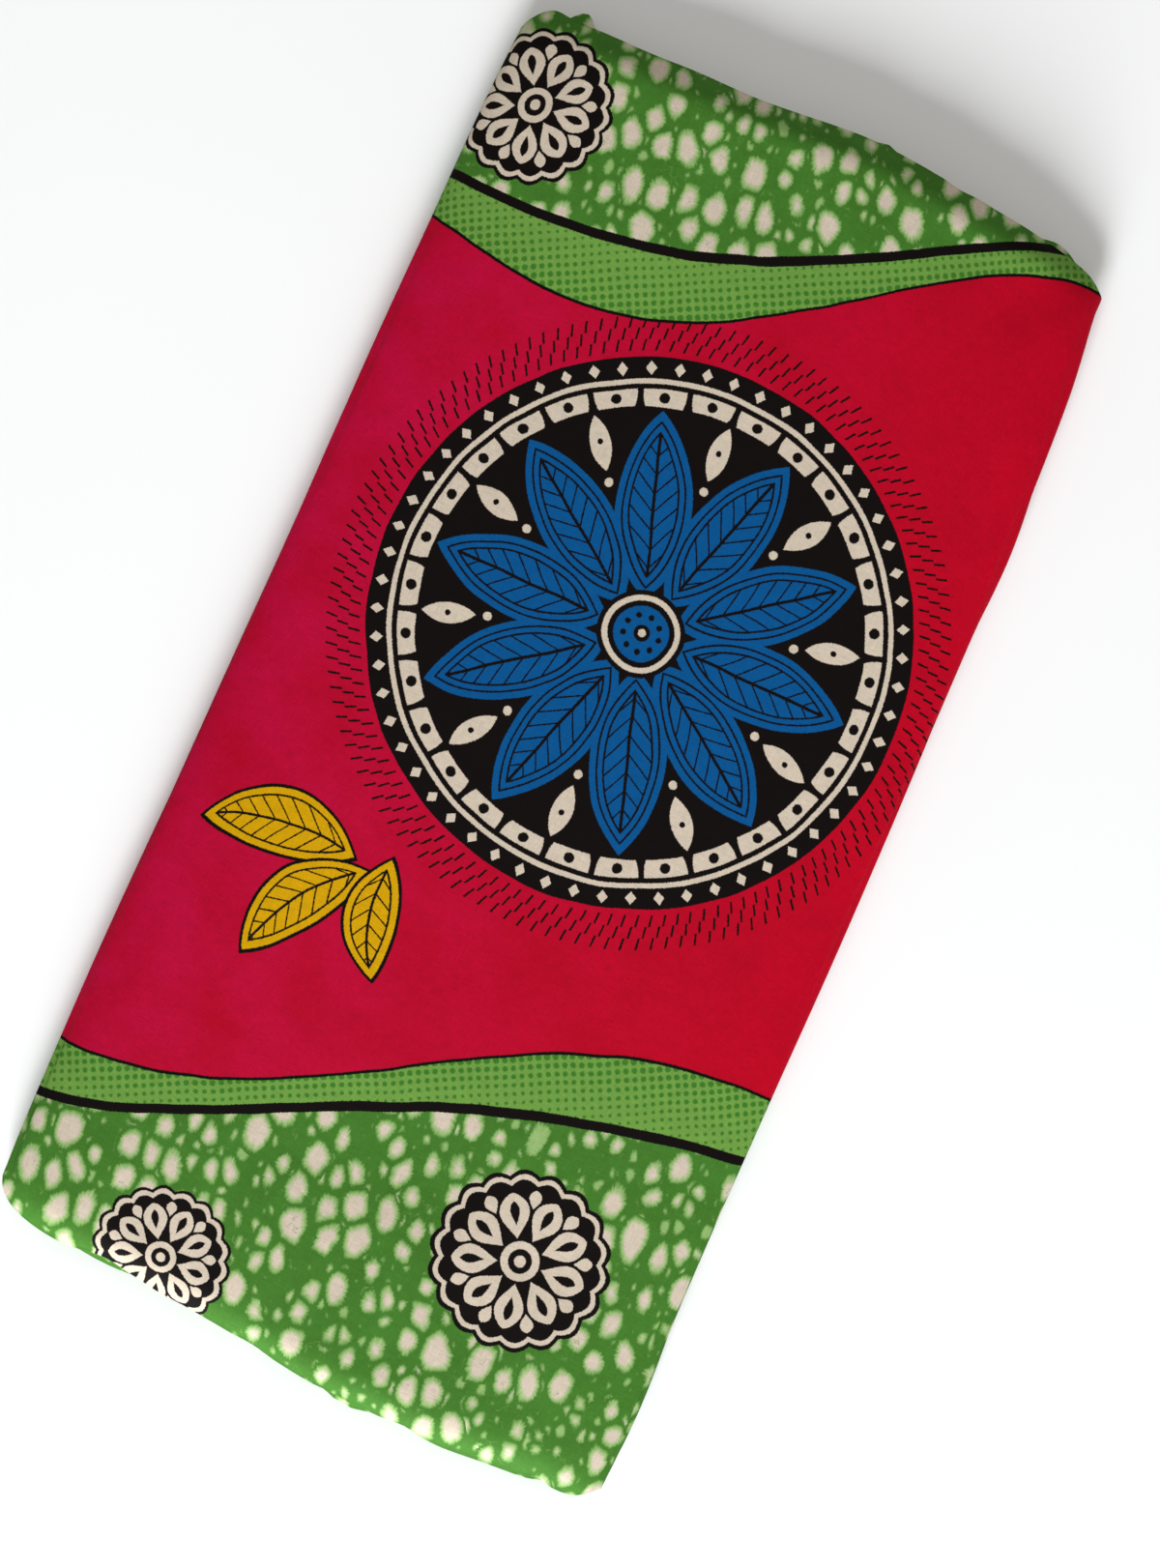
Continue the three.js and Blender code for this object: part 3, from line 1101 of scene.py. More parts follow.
@dataclass(frozen=True)
class WaxField:
    """Green ground with the cream ovals that wax leaves when it resists the dye.

    ragged and small_ragged are how far the lumps move the rims of the large and the small ovals. clear is
    how far the small ones keep from the large ones. Sizes are in millimetres.
    """

    large: Bubbles = Bubbles(cell=13.0, least=2.9, spread=6.8, longest=1.45, teeth=1.4, pale=0.0)
    small: Bubbles = Bubbles(
        cell=6.8, least=-0.3, spread=3.0, longest=1.6, teeth=1.5, pale=0.35, shift=31.0, fringe=1.1
    )
    lump_size: float = 5.5
    tint_size: float = 24.0
    tint_detail: float = 3.0
    tint_range: tuple[float, float] = (0.3, 0.7)
    ragged: float = 2.4
    small_ragged: float = 2.0
    clear: float = 1.8
    clear_soft: float = 1.2
    crack_pitch: float = 12.0
    crack_wander: float = 9.0
    crack_bend: float = 4.0
    crack_detail: float = 2.0
    patch_size: float = 15.0
    pale_crack: Crack = Crack(
        half_width=0.15, soft=0.3, patches=(0.64, 0.7), clear=1.0, clear_soft=1.0, strength=0.4
    )
    dark_crack: Crack = Crack(
        half_width=0.1, soft=0.4, patches=(0.46, 0.4), clear=2.2, clear_soft=1.2, strength=0.75
    )

    def colour(self, canvas: Canvas) -> Any:
        """The colour of the field at each place.

        Args:
            canvas: The cloth.

        Returns:
            The colour's socket.
        """
        graph, inks = canvas.graph, canvas.inks
        flat = graph.vector(canvas.u, canvas.v)
        lumps = graph.read(graph.noise(flat, self.lump_size)) - 0.5
        tint = graph.read(graph.noise(flat, self.tint_size, self.tint_detail))
        ground = graph.mix(tint.share(*self.tint_range), inks.green, inks.deep_green)
        past, chance = self.large.past(canvas, lumps * self.ragged)
        small_past, small_chance = self.small.past(canvas, lumps * self.small_ragged)
        free = (self.clear - past).inside(self.clear_soft)
        ground = self.small.paint(canvas, ground, small_past, small_chance, free)
        ground = self.large.paint(canvas, ground, past, chance, 1.0)
        return self._cracks(canvas, flat, ground, past)

    def _cracks(self, canvas: Canvas, flat: Any, ground: Any, past: Num) -> Any:
        """Adds the fine cracks of the wax, pale on the green and green in a few ovals.

        Args:
            canvas: The cloth.
            flat: Each place on the cloth, as a vector.
            ground: The colour under the cracks.
            past: The distance past the large ovals' rims.

        Returns:
            The colour with the cracks on it.
        """
        graph, inks, reach = canvas.graph, canvas.inks, self.crack_wander
        wander = graph.parts(graph.noise(flat, self.crack_bend, self.crack_detail).outputs["Color"])
        crooked = graph.vector(canvas.u + (wander[0] - 0.5) * reach, canvas.v + (wander[1] - 0.5) * reach)
        edges = graph.cells(crooked, self.crack_pitch, "DISTANCE_TO_EDGE")
        line = graph.read(edges, "Distance") * self.crack_pitch
        patch = graph.read(graph.noise(flat, self.patch_size))
        ground = graph.mix(self.pale_crack.mask(line, patch, past), ground, inks.fringe)
        return graph.mix(self.dark_crack.mask(line, patch, 0 - past), ground, inks.dot_green)


@dataclass(frozen=True)
class Roundel:
    """A large round ornament: veined blue leaves on black, in a border of cream scallops.

    Names that end in _in are distances in from its edge, or in from the leaves' tips for the seeds and
    beads. Widths and lengths are whole ones unless half_ says otherwise.
    """

    u: float
    v: float
    radius: float = 119.0
    dashes: int = 132
    dash_rows: int = 3
    dash_start: float = 5.0
    dash_pitch: float = 4.9
    dash_lean: float = 0.3
    dash_half_width: float = 0.5
    dash_half_length: float = 2.5
    lozenges: int = 58
    lozenge_in: float = 4.8
    lozenge_half_length: float = 3.0
    lozenge_squash: float = 1.25
    ring_in: float = 10.4
    ring_half_width: float = 1.1
    scallops: int = 30
    scallop_in: float = 13.8
    scallop_radius: float = 9.6
    scallop_squash: float = 0.72
    hole_in: float = 17.6
    hole_radius: float = 2.3
    leaves: int = 10
    leaf_start: float = 15.0
    leaf_end_in: float = 23.0
    leaf_half_breadth: float = 16.8
    leaf_margin: float = 1.5
    contours: tuple[float, ...] = (3.4, 6.4)
    contour_width: float = 0.9
    vein_pitch: float = 8.0
    vein_slope: float = 1.15
    vein_half_width: float = 0.5
    rib_half_width: float = 0.7
    seed_in: float = 12.5
    seed_half_length: float = 12.0
    seed_half_breadth: float = 4.6
    seed_dot_in: float = 12.0
    seed_dot_radius: float = 1.3
    bead_in: float = 29.5
    bead_radius: float = 1.9
    eye_radius: float = 19.0
    eye_ring: float = 15.6
    eye_ring_half_width: float = 1.2
    eye_blue: float = 12.0
    eye_dots: int = 9
    eye_dots_at: float = 8.0
    eye_dot_radius: float = 1.3
    pupil_radius: float = 3.6
    spark_radius: float = 1.7

    def _sector(self, angle: Num, reach: Num, count: int, shift: float = 0.5) -> Num:
        """How far a place lies beside the middle line of its sector, one of count round the middle."""
        return ((angle * (count / (2 * math.pi)) + shift).part() - 0.5) * reach * (2 * math.pi / count)

    def paint(self, canvas: Canvas) -> None:
        """Prints the ornament.

        Args:
            canvas: The cloth.
        """
        du, dv = canvas.around(self.u, self.v)
        reach = du.length_with(dv)
        angle = dv.angle_from(du)
        self._border(canvas, reach, angle)
        self._leaves(canvas, reach, angle)
        self._middle(canvas, reach, angle)

    def _border(self, canvas: Canvas, reach: Num, angle: Num) -> None:
        """Prints the dashes round the ornament, its black ground, and the rings inside its edge.

        Args:
            canvas: The cloth.
            reach: Each place's distance from the ornament's middle.
            angle: Its angle there.
        """
        inks, edge = canvas.inks, self.radius
        for row in range(self.dash_rows):
            beside = self._sector(angle, reach, self.dashes, 0.5 * (row % 2))
            out = reach - (edge + self.dash_start + self.dash_pitch * row)
            side = abs(beside + out * self.dash_lean) - self.dash_half_width
            canvas.fill(side.most(abs(out) - self.dash_half_length), inks.black)
        canvas.fill(reach - edge, inks.black)
        beside = self._sector(angle, reach, self.lozenges)
        squashed = abs(beside) * self.lozenge_squash + abs(reach - (edge - self.lozenge_in))
        canvas.fill(squashed - self.lozenge_half_length, inks.cream)
        canvas.fill(abs(reach - (edge - self.ring_in)) - self.ring_half_width, inks.cream)
        beside = self._sector(angle, reach, self.scallops)
        past_line = reach - (edge - self.scallop_in)
        from_arc = beside.length_with(past_line * self.scallop_squash)
        canvas.fill((from_arc - self.scallop_radius).most(past_line), inks.cream)
        canvas.fill(beside.length_with(reach - (edge - self.hole_in)) - self.hole_radius, inks.black)

    def _leaves(self, canvas: Canvas, reach: Num, angle: Num) -> None:
        """Prints the blue leaves with their contours and veins, and a cream seed between each two.

        Args:
            canvas: The cloth.
            reach: Each place's distance from the ornament's middle.
            angle: Its angle there.
        """
        inks, low, high = canvas.inks, self.leaf_start, self.radius - self.leaf_end_in
        canvas.fill(reach - (high + self.leaf_margin), inks.black)
        beside = self._sector(angle, reach, self.leaves)
        along = reach - (low + high) / 2
        leaf = along.leaf_with(beside, (high - low) / 2, self.leaf_half_breadth)
        canvas.fill(leaf, inks.blue)
        for inward in self.contours:
            canvas.stroke(leaf + inward, self.contour_width, inks.black)
        slant = ((reach - abs(beside) * self.vein_slope) * (1 / self.vein_pitch)).part() - 0.5
        veins = (abs(slant) * self.vein_pitch - self.vein_half_width).inside(canvas.edge)
        rib = (abs(beside) - self.rib_half_width).inside(canvas.edge)
        canvas.lay((veins | rib) & (leaf + self.contours[-1]).inside(canvas.edge), inks.black)
        between = self._sector(angle, reach, self.leaves, 0.0)
        past_seed = reach - (high - self.seed_in)
        seed = past_seed.leaf_with(between, self.seed_half_length, self.seed_half_breadth)
        canvas.fill(seed, inks.cream)
        seed_dot = between.length_with(reach - (high - self.seed_dot_in))
        canvas.fill(seed_dot - self.seed_dot_radius, inks.black)
        canvas.fill(between.length_with(reach - (high - self.bead_in)) - self.bead_radius, inks.cream)

    def _middle(self, canvas: Canvas, reach: Num, angle: Num) -> None:
        """Prints the eye of the ornament.

        Args:
            canvas: The cloth.
            reach: Each place's distance from the ornament's middle.
            angle: Its angle there.
        """
        inks = canvas.inks
        canvas.fill(reach - self.eye_radius, inks.black)
        canvas.fill(abs(reach - self.eye_ring) - self.eye_ring_half_width, inks.cream)
        canvas.fill(reach - self.eye_blue, inks.blue)
        beside = self._sector(angle, reach, self.eye_dots)
        canvas.fill(beside.length_with(reach - self.eye_dots_at) - self.eye_dot_radius, inks.black)
        canvas.fill(reach - self.pupil_radius, inks.black)
        canvas.fill(reach - self.spark_radius, inks.cream)


@dataclass(frozen=True)
class Rosette:
    """A small black and cream ornament with a scalloped rim.

    ring_in and ring_half_width are in millimetres, and the other rings' and the eye's sizes are shares of
    its radius. A petal is widest past its middle by the power petal_lean, and petal_bluntness rounds it.
    """

    u: float
    v: float
    radius: float
    petals: int = 9
    rim_waves: int = 18
    wave_depth: float = 0.07
    ring_at: float = 0.93
    ring_in: float = 0.6
    ring_half_width: float = 1.1
    eye_ring: float = 0.19
    eye_ring_half_width: float = 0.045
    eye_dot: float = 0.07
    petal_lean: float = 1.5
    petal_bluntness: float = 0.7
    petal_margin: float = 0.001

    def paint(self, canvas: Canvas) -> None:
        """Prints the ornament.

        Args:
            canvas: The cloth.
        """
        inks, size = canvas.inks, self.radius
        du, dv = canvas.around(self.u, self.v)
        reach = du.length_with(dv)
        angle = dv.angle_from(du)
        rim = reach - abs((angle * (self.rim_waves / 2)).sine()) * (self.wave_depth * size)
        canvas.fill(rim - size, inks.black)
        canvas.fill(abs(rim - (self.ring_at * size - self.ring_in)) - self.ring_half_width, inks.cream)
        turn = self.petals / (2 * math.pi)
        for shift, low, high, breadth, colour in (
            (0.5, 0.27, 0.80, 0.175, inks.cream),
            (0.5, 0.42, 0.70, 0.055, inks.black),
            (0.0, 0.62, 0.84, 0.075, inks.cream),
        ):
            beside = abs(((angle * turn + shift).part() - 0.5) * reach * (1 / turn))
            share = (reach * (1 / size) - low) * (1 / (high - low))
            share = share.most(self.petal_margin).least(1 - self.petal_margin)
            drop = ((share**self.petal_lean) * math.pi).sine() ** self.petal_bluntness
            ends = (low * size - reach).most(reach - high * size)
            canvas.fill((beside - drop * (breadth * size)).most(ends), colour)
        canvas.fill(abs(reach - self.eye_ring * size) - self.eye_ring_half_width * size, inks.cream)
        canvas.fill(reach - self.eye_dot * size, inks.cream)


@dataclass(frozen=True)
class Leaf:
    """A yellow leaf with a black outline, a midrib and slanting veins. turn is in degrees."""

    u: float
    v: float
    turn: float
    length: float
    half_breadth: float
    outline: float = 1.5
    bow: float = 0.4
    contour_in: float = 3.2
    contour_width: float = 0.9
    vein_pitch: float = 7.0
    vein_slope: float = 0.9
    vein_half_width: float = 0.45
    rib_half_width: float = 0.6

    def paint(self, canvas: Canvas) -> None:
        """Prints the leaf.

        Args:
            canvas: The cloth.
        """
        inks = canvas.inks
        du, dv = canvas.around(self.u, self.v)
        angle = math.radians(self.turn)
        along = du * math.cos(angle) + dv * math.sin(angle) - self.length / 2
        beside = dv * math.cos(angle) - du * math.sin(angle)
        bowed = beside - along * along * (self.bow / self.length)
        leaf = along.leaf_with(bowed, self.length / 2, self.half_breadth)
        canvas.fill(leaf - self.outline, inks.black)
        canvas.fill(leaf, inks.yellow)
        canvas.stroke(leaf + self.contour_in, self.contour_width, inks.black)
        slant = ((along - abs(bowed) * self.vein_slope) * (1 / self.vein_pitch)).part() - 0.5
        veins = (abs(slant) * self.vein_pitch - self.vein_half_width).inside(canvas.edge)
        rib = (abs(bowed) - self.rib_half_width).inside(canvas.edge)
        canvas.lay((veins | rib) & (leaf + self.contour_in).inside(canvas.edge), inks.black)


@dataclass(frozen=True)
class WaxPrint:
    """The whole print: its ribbons, fields and ornaments on a crimson ground. Sizes are in millimetres."""

    repeat: float = 640.0
    tint_size: float = 34.0
    tint_detail: float = 3.0
    tint_range: tuple[float, float] = (0.35, 0.9)
    foot_ribbon: Ribbon = Ribbon(
        level=-172, sway=50, phase=0.0, breadth=22, side=-1, second_sway=-6, taper=-0.6
    )
    head_ribbon: Ribbon = Ribbon(
        level=248, sway=44, phase=-0.25, breadth=21, side=1, second_sway=7, taper=-3.6
    )
    field: WaxField = WaxField()
    roundels: tuple[Roundel, ...] = (Roundel(u=14, v=62), Roundel(u=-306, v=-95))
    rosettes: tuple[Rosette, ...] = (
        Rosette(u=76, v=-206, radius=37),
        Rosette(u=-66, v=-268, radius=29),
        Rosette(u=-122, v=252, radius=33),
    )
    leaves: tuple[Leaf, ...] = (
        Leaf(u=-60, v=-70, turn=188, length=68, half_breadth=14),
        Leaf(u=-57, v=-76, turn=236, length=64, half_breadth=13),
        Leaf(u=-49, v=-72, turn=284, length=52, half_breadth=11),
    )

    def paint(self, canvas: Canvas) -> None:
        """Prints everything, from the ground up.

        Args:
            canvas: The cloth.
        """
        graph, inks = canvas.graph, canvas.inks
        flat = graph.vector(canvas.u, canvas.v)
        tint = graph.read(graph.noise(flat, self.tint_size, self.tint_detail))
        # The crimson is painted pinker towards one side of each repeat: a painted cool sheen of the light
        # there.
        painted_sheen = (canvas.u * (2 * math.pi / self.repeat)).sine() * -0.5 + 0.5
        ground = graph.mix(painted_sheen, inks.crimson, inks.sheen_pink_crimson)
        canvas.colour = graph.mix(tint.share(*self.tint_range), ground, inks.deep_crimson)
        field = self.field.colour(canvas)
        for leaf in self.leaves:
            leaf.paint(canvas)
        for roundel in self.roundels:
            roundel.paint(canvas)
        for ribbon in (self.foot_ribbon, self.head_ribbon):
            past = ribbon.distance(canvas)
            canvas.fill(0 - past, field)
            ribbon.paint(canvas, past)
        for rosette in self.rosettes:
            rosette.paint(canvas)


@dataclass(frozen=True)
class PrintedCotton:
    """The finish of the cloth: the print, with the cotton's threads under it. Sizes are in millimetres.

    bleed and wander move the print's lines, in lumps as wide as bleed_size and wander_size.
    """

    pattern: WaxPrint = WaxPrint()
    inks: Inks = Inks()
    bleed: float = 0.55
    bleed_size: float = 0.8
    wander: float = 1.6
    wander_size: float = 26.0
    thread: float = 0.45
    thread_stretch: float = 0.08
    thread_shade: float = 0.3
    thread_rough: float = 0.12
    thread_height: float = 0.05
    rumple_size: float = 11.0
    rumple_detail: float = 2.0
    rumple_height: float = 0.5
    relief: float = 0.35
    roughness: float = 0.68
    gloss: float = 0.05

    def build(self) -> bpy.types.Material:
        """Makes the material.

        Returns:
            The new material, which reads the piece's own cloth map.
        """
        material = bpy.data.materials.new("printed_cotton")
        graph = Graph(material)
        cloth = graph.node("ShaderNodeUVMap", {"uv_map": CLOTH_MAP}, []).outputs[0]
        scaled = {"Vector": cloth, "Scale": 1 / MM}
        place = graph.node("ShaderNodeVectorMath", {"operation": "SCALE"}, scaled).outputs[0]
        u, v, _ = graph.parts(place)
        fine = graph.parts(graph.noise(place, self.bleed_size).outputs["Color"])
        broad = graph.parts(graph.noise(place, self.wander_size).outputs["Color"])
        canvas = Canvas(
            graph=graph,
            u=u + (fine[0] - 0.5) * self.bleed + (broad[0] - 0.5) * self.wander,
            v=v + (fine[1] - 0.5) * self.bleed + (broad[1] - 0.5) * self.wander,
            grain=fine[2],
            inks=self.inks,
            colour=self.inks.crimson,
            repeat=self.pattern.repeat,
        )
        self.pattern.paint(canvas)
        warp = graph.read(graph.noise(graph.vector(u, v * self.thread_stretch), self.thread))
        weft = graph.read(graph.noise(graph.vector(u * self.thread_stretch, v), self.thread))
        threads = warp + weft - 1
        shade = threads * self.thread_shade + 1
        tone = graph.node("ShaderNodeCombineXYZ", {}, [shade, shade, shade]).outputs[0]
        colour = graph.mix(1.0, canvas.colour, tone, "MULTIPLY")
        rough = threads * self.thread_rough + self.roughness
        rumple = graph.read(graph.noise(place, self.rumple_size, self.rumple_detail))
        height = threads * self.thread_height + rumple * self.rumple_height
        relief = {"Strength": self.relief, "Distance": MM, "Height": height}
        bumps = graph.node("ShaderNodeBump", {}, relief)
        surface = graph.node(
            "ShaderNodeBsdfPrincipled",
            {},
            {
                "Base Color": colour,
                "Roughness": rough,
                "Normal": bumps.outputs[0],
                "Specular IOR Level": self.gloss,
            },
        )
        graph.node("ShaderNodeOutputMaterial", {}, [surface.outputs[0]])
        return material


@dataclass(frozen=True)
class InnerEnds:
    """How the hidden laps are drawn in, and how uneven their ends are. Sizes are in millimetres.

    reach is how far in the whole stack goes, from 0 at its outermost lap to 1 on the packet's middle line,
    and wall is the share of one lap's part of it that the cloth fills. Angles, in radians, make each lap's
    ends uneven in their own way: turn and setback_turn change them from one lap to the next, end_turn from
    end to end, and peek_turns from one peek to the next.
    """

    reach: float = 0.96
    start: float = 0.01
    wall: float = 0.8
    turn: float = 2.4
    end_turn: float = 0.9
    peek_turns: tuple[float, ...] = (1.0, 2.7, 4.1)
    peek_spread: float = 105.0
    peek_width: float = 34.0
    peek_out: float = 1.9
    setback: float = 2.6
    setback_sway: float = 1.2
    setback_turn: float = 3.1
    rim_bulge: float = 0.7


@dataclass(frozen=True)
class FoldedCloth:
    """The packet: the outer lap, the second lap, and the laps inside that show at its ends."""

    form: PacketForm = PacketForm()
    inner_ends: InnerEnds = InnerEnds()
    inner_laps: int = 7
    lap_pitch: float = 1.85
    lap_length: float = 590.0
    cut_end: float = -60.0
    line_samples: int = 200
    outer_creases: tuple[Crease, ...] = (
        Crease(x=-96, y=-268, turn=98, length=26, width=7, lift=-0.9),
        Crease(x=-58, y=-270, turn=84, length=34, width=8, lift=-0.7),
        Crease(x=-14, y=-270, turn=76, length=26, width=4, lift=-0.7),
        Crease(x=6, y=-252, turn=93, length=46, width=4, lift=-0.9),
        Crease(x=36, y=-266, turn=96, length=24, width=6, lift=-0.6),
        Crease(x=62, y=-240, turn=115, length=34, width=3, lift=-0.9),
        Crease(x=71, y=-235, turn=148, length=18, width=3, lift=-0.4),
        Crease(x=63, y=-280, turn=93, length=24, width=5, lift=-0.7),
        Crease(x=-40, y=-207, turn=32, length=22, width=6, lift=-0.4),
        Crease(x=84, y=-208, turn=14, length=30, width=8, lift=-0.4),
        Crease(x=-80, y=-272, turn=-4, length=80, width=7.5, lift=0.6),
        Crease(x=52, y=-283.5, turn=1.5, length=120, width=9, lift=0.8),
        Crease(x=-50, y=284, turn=2, length=120, width=7.5, lift=0.9),
        Crease(x=75, y=282.5, turn=-6, length=100, width=7.5, lift=0.9),
        Crease(x=27, y=235, turn=20, length=36, width=4, lift=-0.3),
        Crease(x=104, y=-274, turn=104, length=36, width=8, lift=-0.9),
        Crease(x=-118, y=280, turn=72, length=30, width=7, lift=-0.9),
        Crease(x=-78, y=284, turn=92, length=22, width=6, lift=-0.6),
        Crease(x=-30, y=282, turn=101, length=34, width=9, lift=-0.8),
        Crease(x=30, y=284, turn=86, length=26, width=7, lift=-0.9),
        Crease(x=74, y=278, turn=78, length=32, width=7, lift=-0.7),
        Crease(x=112, y=268, turn=65, length=36, width=8, lift=-1.0),
        Crease(x=-136, y=-150, turn=88, length=70, width=6, lift=-0.6),
        Crease(x=-134, y=70, turn=91, length=78, width=8, lift=-0.8),
        Crease(x=134, y=-60, turn=87, length=110, width=7, lift=-0.6),
        Crease(x=128, y=140, turn=94, length=80, width=7, lift=-0.6),
    )
    under_creases: tuple[Crease, ...] = (
        Crease(x=-88, y=-262, turn=96, length=34, width=5, lift=0.6),
        Crease(x=-22, y=-266, turn=82, length=27, width=4, lift=0.5),
        Crease(x=57, y=-264, turn=99, length=38, width=5, lift=0.6),
        Crease(x=-104, y=262, turn=76, length=30, width=4, lift=0.5),
        Crease(x=14, y=270, turn=94, length=24, width=5, lift=0.6),
        Crease(x=92, y=258, turn=71, length=40, width=5, lift=0.6),
        Crease(x=-54, y=-96, turn=97, length=120, width=5, lift=0.6),
        Crease(x=-66, y=128, turn=86, length=96, width=4, lift=0.5),
        Crease(x=38, y=30, turn=63, length=130, width=6, lift=0.6),
        Crease(x=104, y=-118, turn=84, length=88, width=5, lift=0.5),
        Crease(x=-112, y=20, turn=101, length=72, width=4, lift=0.5),
        Crease(x=20, y=-190, turn=24, length=76, width=5, lift=0.6),
    )
    side_folds: tuple[SideFold, ...] = (
        SideFold(side=1, y=-225, length=110, height=10.8, rise=0.004, width=1.6, depth=1.9),
        SideFold(side=1, y=-250, length=62, height=6.9, rise=0.006, width=2.7, depth=-2.7),
        SideFold(side=1, y=-205, length=90, height=14.6, rise=-0.012, width=1.5, depth=1.2),
        SideFold(side=1, y=-60, length=150, height=6.2, rise=0.006, width=1.5, depth=1.5),
        SideFold(side=1, y=20, length=130, height=12.6, rise=-0.007, width=1.7, depth=1.2),
        SideFold(side=1, y=-20, length=100, height=9.6, rise=-0.004, width=1.8, depth=-0.7),
        SideFold(side=1, y=150, length=120, height=10.6, rise=0.006, width=1.6, depth=1.8),
        SideFold(side=1, y=159, length=46, height=6.8, rise=0.004, width=2.6, depth=-2.5),
        SideFold(side=1, y=96, length=60, height=5.6, rise=0.004, width=2.2, depth=-1.0),
        SideFold(side=1, y=205, length=95, height=13.6, rise=0.006, width=1.6, depth=1.6),
        SideFold(side=1, y=225, length=80, height=5.4, rise=-0.004, width=1.4, depth=1.2),
        SideFold(side=-1, y=-190, length=110, height=7.0, rise=0.008, width=1.5, depth=1.5),
        SideFold(side=-1, y=-230, length=80, height=12.4, rise=0.01, width=1.6, depth=1.6),
        SideFold(side=-1, y=-150, length=90, height=10.6, rise=0.006, width=1.8, depth=-0.8),
        SideFold(side=-1, y=-50, length=140, height=11.2, rise=-0.006, width=1.6, depth=1.7),
        SideFold(side=-1, y=-20, length=110, height=8.0, rise=-0.003, width=1.9, depth=-0.7),
        SideFold(side=-1, y=30, length=160, height=5.4, rise=0.003, width=1.4, depth=1.2),
        SideFold(side=-1, y=120, length=110, height=13.6, rise=0.005, width=1.6, depth=1.2),
        SideFold(side=-1, y=215, length=90, height=9.0, rise=-0.01, width=1.6, depth=1.8),
        SideFold(side=-1, y=232, length=60, height=5.2, rise=-0.004, width=2.2, depth=-0.9),
    )
    outer_peeks: tuple[Peek, ...] = (
        Peek(end=End.FOOT, x=-88, width=14, out=-0.9),
        Peek(end=End.FOOT, x=-60, width=13, out=0.7),
        Peek(end=End.FOOT, x=-14, width=11, out=-0.8),
        Peek(end=End.FOOT, x=25, width=9, out=-0.9),
        Peek(end=End.FOOT, x=60, width=9, out=-1.2),
        Peek(end=End.FOOT, x=105, width=52, out=2.6),
        Peek(end=End.FOOT, x=122, width=8, out=-2.4),
        Peek(end=End.HEAD, x=-134, width=9, out=1.8),
        Peek(end=End.HEAD, x=-75, width=40, out=1.5),
        Peek(end=End.HEAD, x=22, width=70, out=1.6),
        Peek(end=End.HEAD, x=60, width=9, out=-0.9),
    )
    second_peeks: tuple[Peek, ...] = (
        Peek(end=End.HEAD, x=-121.5, width=8, out=6.6),
        Peek(end=End.HEAD, x=24, width=11, out=4.6),
        Peek(end=End.HEAD, x=112, width=15, out=4.2),
        Peek(end=End.FOOT, x=-88, width=22, out=3.4),
        Peek(end=End.FOOT, x=34, width=18, out=4.0),
        Peek(end=End.FOOT, x=118, width=14, out=3.6),
    )

    def _inner_lap(self, number: int) -> Lap:
        """Plans one of the hidden laps, with its own uneven ends.

        Args:
            number: Its place in the stack, 0 being the outermost.

        Returns:
            The lap, drawn in by its place.
        """
        ends = self.inner_ends
        pitch = ends.reach / self.inner_laps
        turn = ends.turn * number
        peeks = tuple(
            Peek(
                end=end,
                x=ends.peek_spread * math.sin(turn + place + ends.end_turn * end.value),
                width=ends.peek_width,
                out=ends.peek_out * math.cos(turn * place),
            )
            for end in End
            for place in ends.peek_turns
        )
        plan = LapPlan(
            inset=2 * self.lap_pitch,
            wall=0,
            drawn=ends.start + pitch * number,
            drawn_wall=ends.wall * pitch,
            setback=ends.setback + ends.setback_sway * math.sin(ends.setback_turn * number),
            rim_bulge=ends.rim_bulge,
            peeks=peeks,
            print_shift=(number + 2) * self.lap_length,
            middle_steps=4,
            end_steps=(0, 1.2, 3, 6, 11, 18, 30, 50, 80),
        )
        return Lap(self.form, plan)

    def build(self, finish: bpy.types.Material) -> None:
        """Builds the three pieces of cloth.

        Args:
            finish: The cloth's material.
        """
        outer = Lap(
            self.form,
            LapPlan(
                inset=0,
                half_ring=120,
                middle_steps=104,
                cut_end=self.cut_end,
                peeks=self.outer_peeks,
                creases=self.outer_creases,
                under_creases=self.under_creases,
                side_folds=self.side_folds,
            ),
        )
        second = Lap(
            self.form,
            LapPlan(
                inset=self.lap_pitch,
                setback=1.0,
                peeks=self.second_peeks,
                print_shift=self.lap_length,
                half_ring=100,
            ),
        )
        offset = self._offset()
        inner = [self._inner_lap(number) for number in range(self.inner_laps)]
        for name, slot, node, laps in (
            ("outer_lap_cloth", "printed_cotton", "outer_lap", [outer]),
            ("second_lap_cloth", "inner_cotton", "second_lap", [second]),
            ("inner_laps_cloth", "folded_edges", "folded_core", inner),
        ):
            piece = ClothPiece(name, slot, node, laps, offset).build(finish)

    def _offset(self) -> Vector:
        """Finds where the form's own origin lies in the part's frame, from the outer lap's CAD box.

        Returns:
            The origin, in metres.
        """
        low, high = (Vector(corner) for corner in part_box("outer_lap"))
        left = min(self.form.edge_lines(row.at)[0] for row in self.form.long_edges)
        right = max(self.form.edge_lines(row.at)[1] for row in self.form.long_edges)
        across = np.linspace(left, right, self.line_samples)
        foot = float(self.form.end_line(End.FOOT, across).min())
        head = float(self.form.end_line(End.HEAD, across).max())
        middle = Vector(((left + right) / 2, (foot + head) / 2, 0)) * MM
        centre = (low + high) / 2
        return Vector((centre.x - middle.x, centre.y - middle.y, low.z))


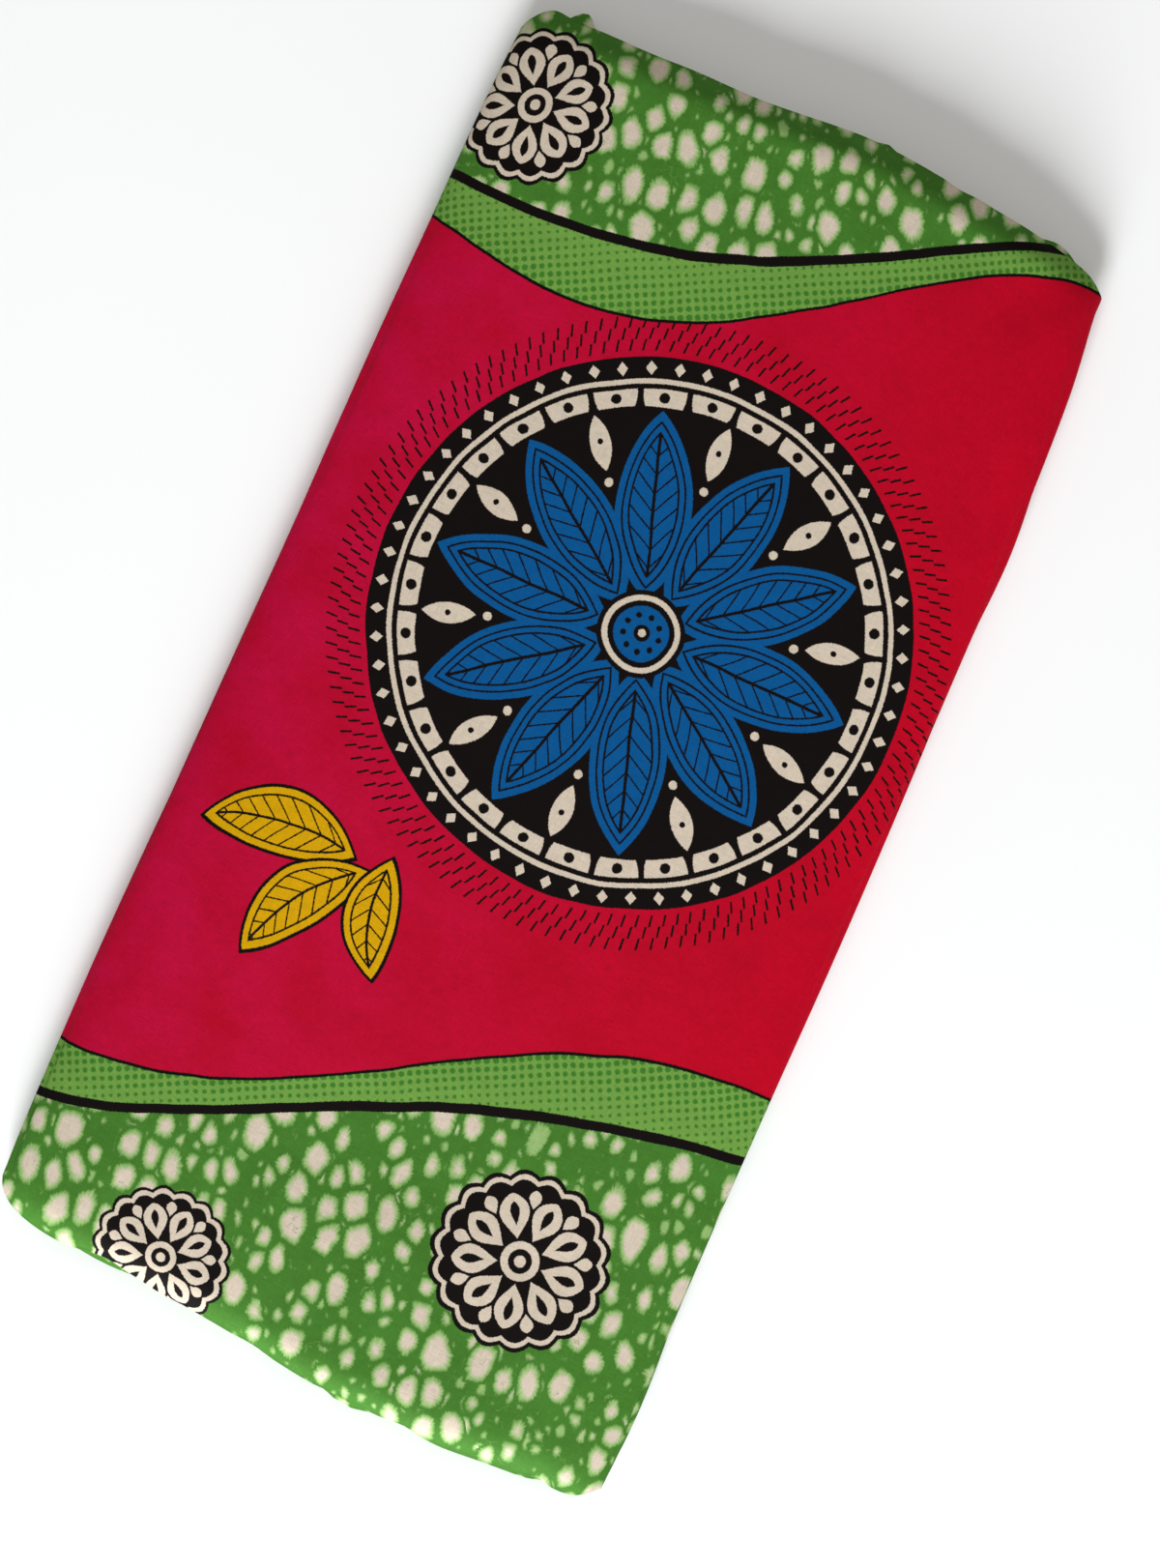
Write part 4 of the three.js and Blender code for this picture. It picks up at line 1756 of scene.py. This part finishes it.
@dataclass(frozen=True)
class SoftLight:
    """A square soft light that faces the packet. Its spot and side are in metres, its power in watts."""

    name: str
    spot: tuple[float, float, float]
    side: float
    power: float
    colour: tuple[float, float, float]

    def hang(self) -> None:
        """Hangs the light."""
        lamp = bpy.data.lights.new(self.name, "AREA")
        lamp.size = self.side
        lamp.energy = self.power
        lamp.color = self.colour
        light = bpy.data.objects.new(self.name, lamp)
        light.location = self.spot
        light.rotation_euler = (-Vector(self.spot)).to_track_quat("-Z", "Y").to_euler()
        bpy.context.scene.collection.objects.link(light)


@dataclass(frozen=True)
class Studio:
    """The plain floor, the soft lights and the camera. Sizes are in metres."""

    lights: tuple[SoftLight, ...] = (
        SoftLight(name="window", spot=(0.85, -5.6, 1.9), side=2.4, power=810, colour=(0.95, 0.98, 1.0)),
        SoftLight(name="ceiling", spot=(0.0, 0.7, 1.9), side=1.8, power=9, colour=(1.0, 0.96, 0.9)),
    )
    room_colour: tuple[float, ...] = (1.0, 0.99, 0.98, 1.0)
    room_light: float = 0.3
    floor_size: float = 6.0
    floor_gap: float = 0.0002
    floor_colours: tuple[tuple[float, ...], ...] = (ink(238, 238, 238), ink(243, 243, 243))
    floor_clouds: float = 3.0
    floor_roughness: float = 0.9
    camera_spot: tuple[float, float] = (0.0135, -0.0101)
    camera_height: float = 1.1
    camera_roll: float = 24.24
    view_long_side: float = 0.6827
    sensor: float = 36.0
    subject_height: float = 0.012

    def _floor(self) -> None:
        """Lays the floor."""
        bpy.ops.mesh.primitive_plane_add(size=self.floor_size, location=(0, 0, 0))
        floor = bpy.context.active_object
        floor.name = "studio_floor"
        for corner in floor.data.vertices:
            corner.co.z = -self.floor_gap
        material = bpy.data.materials.new("floor_paper")
        graph = Graph(material)
        place = graph.node("ShaderNodeTexCoord", {}, []).outputs["Object"]
        clouds = graph.node("ShaderNodeTexNoise", {}, {"Vector": place, "Scale": self.floor_clouds})
        colour = graph.mix(graph.read(clouds), *self.floor_colours)
        finish = {"Base Color": colour, "Roughness": self.floor_roughness}
        surface = graph.node("ShaderNodeBsdfPrincipled", {}, finish)
        graph.node("ShaderNodeOutputMaterial", {}, [surface.outputs[0]])
        floor.data.materials.append(material)

    def _camera(self) -> None:
        """Sets the camera over the packet, looking straight down and turned to its slant."""
        data = bpy.data.cameras.new("camera")
        data.sensor_width = self.sensor
        data.lens = self.sensor * (self.camera_height - self.subject_height) / self.view_long_side
        camera = bpy.data.objects.new("camera", data)
        camera.location = (*self.camera_spot, self.camera_height)
        camera.rotation_euler = (0, 0, math.radians(self.camera_roll))
        bpy.context.scene.collection.objects.link(camera)
        bpy.context.scene.camera = camera

    def build(self) -> None:
        """Builds the studio."""
        self._floor()
        for light in self.lights:
            light.hang()
        self._camera()
        scene = bpy.context.scene
        scene.view_settings.view_transform = "Standard"
        world = bpy.data.worlds.new("room")
        world.use_nodes = True
        background = world.node_tree.nodes["Background"]
        background.inputs[0].default_value = self.room_colour
        background.inputs[1].default_value = self.room_light
        scene.world = world


def main() -> None:
    """Builds the studio and the cloth, and reports each step."""
    logging.basicConfig(level=logging.INFO, format="%(name)s: %(message)s")
    Studio().build()
    log.info("studio built")
    FoldedCloth().build(PrintedCotton().build())
    log.info("cloth built")


if __name__ == "__main__":
    main()
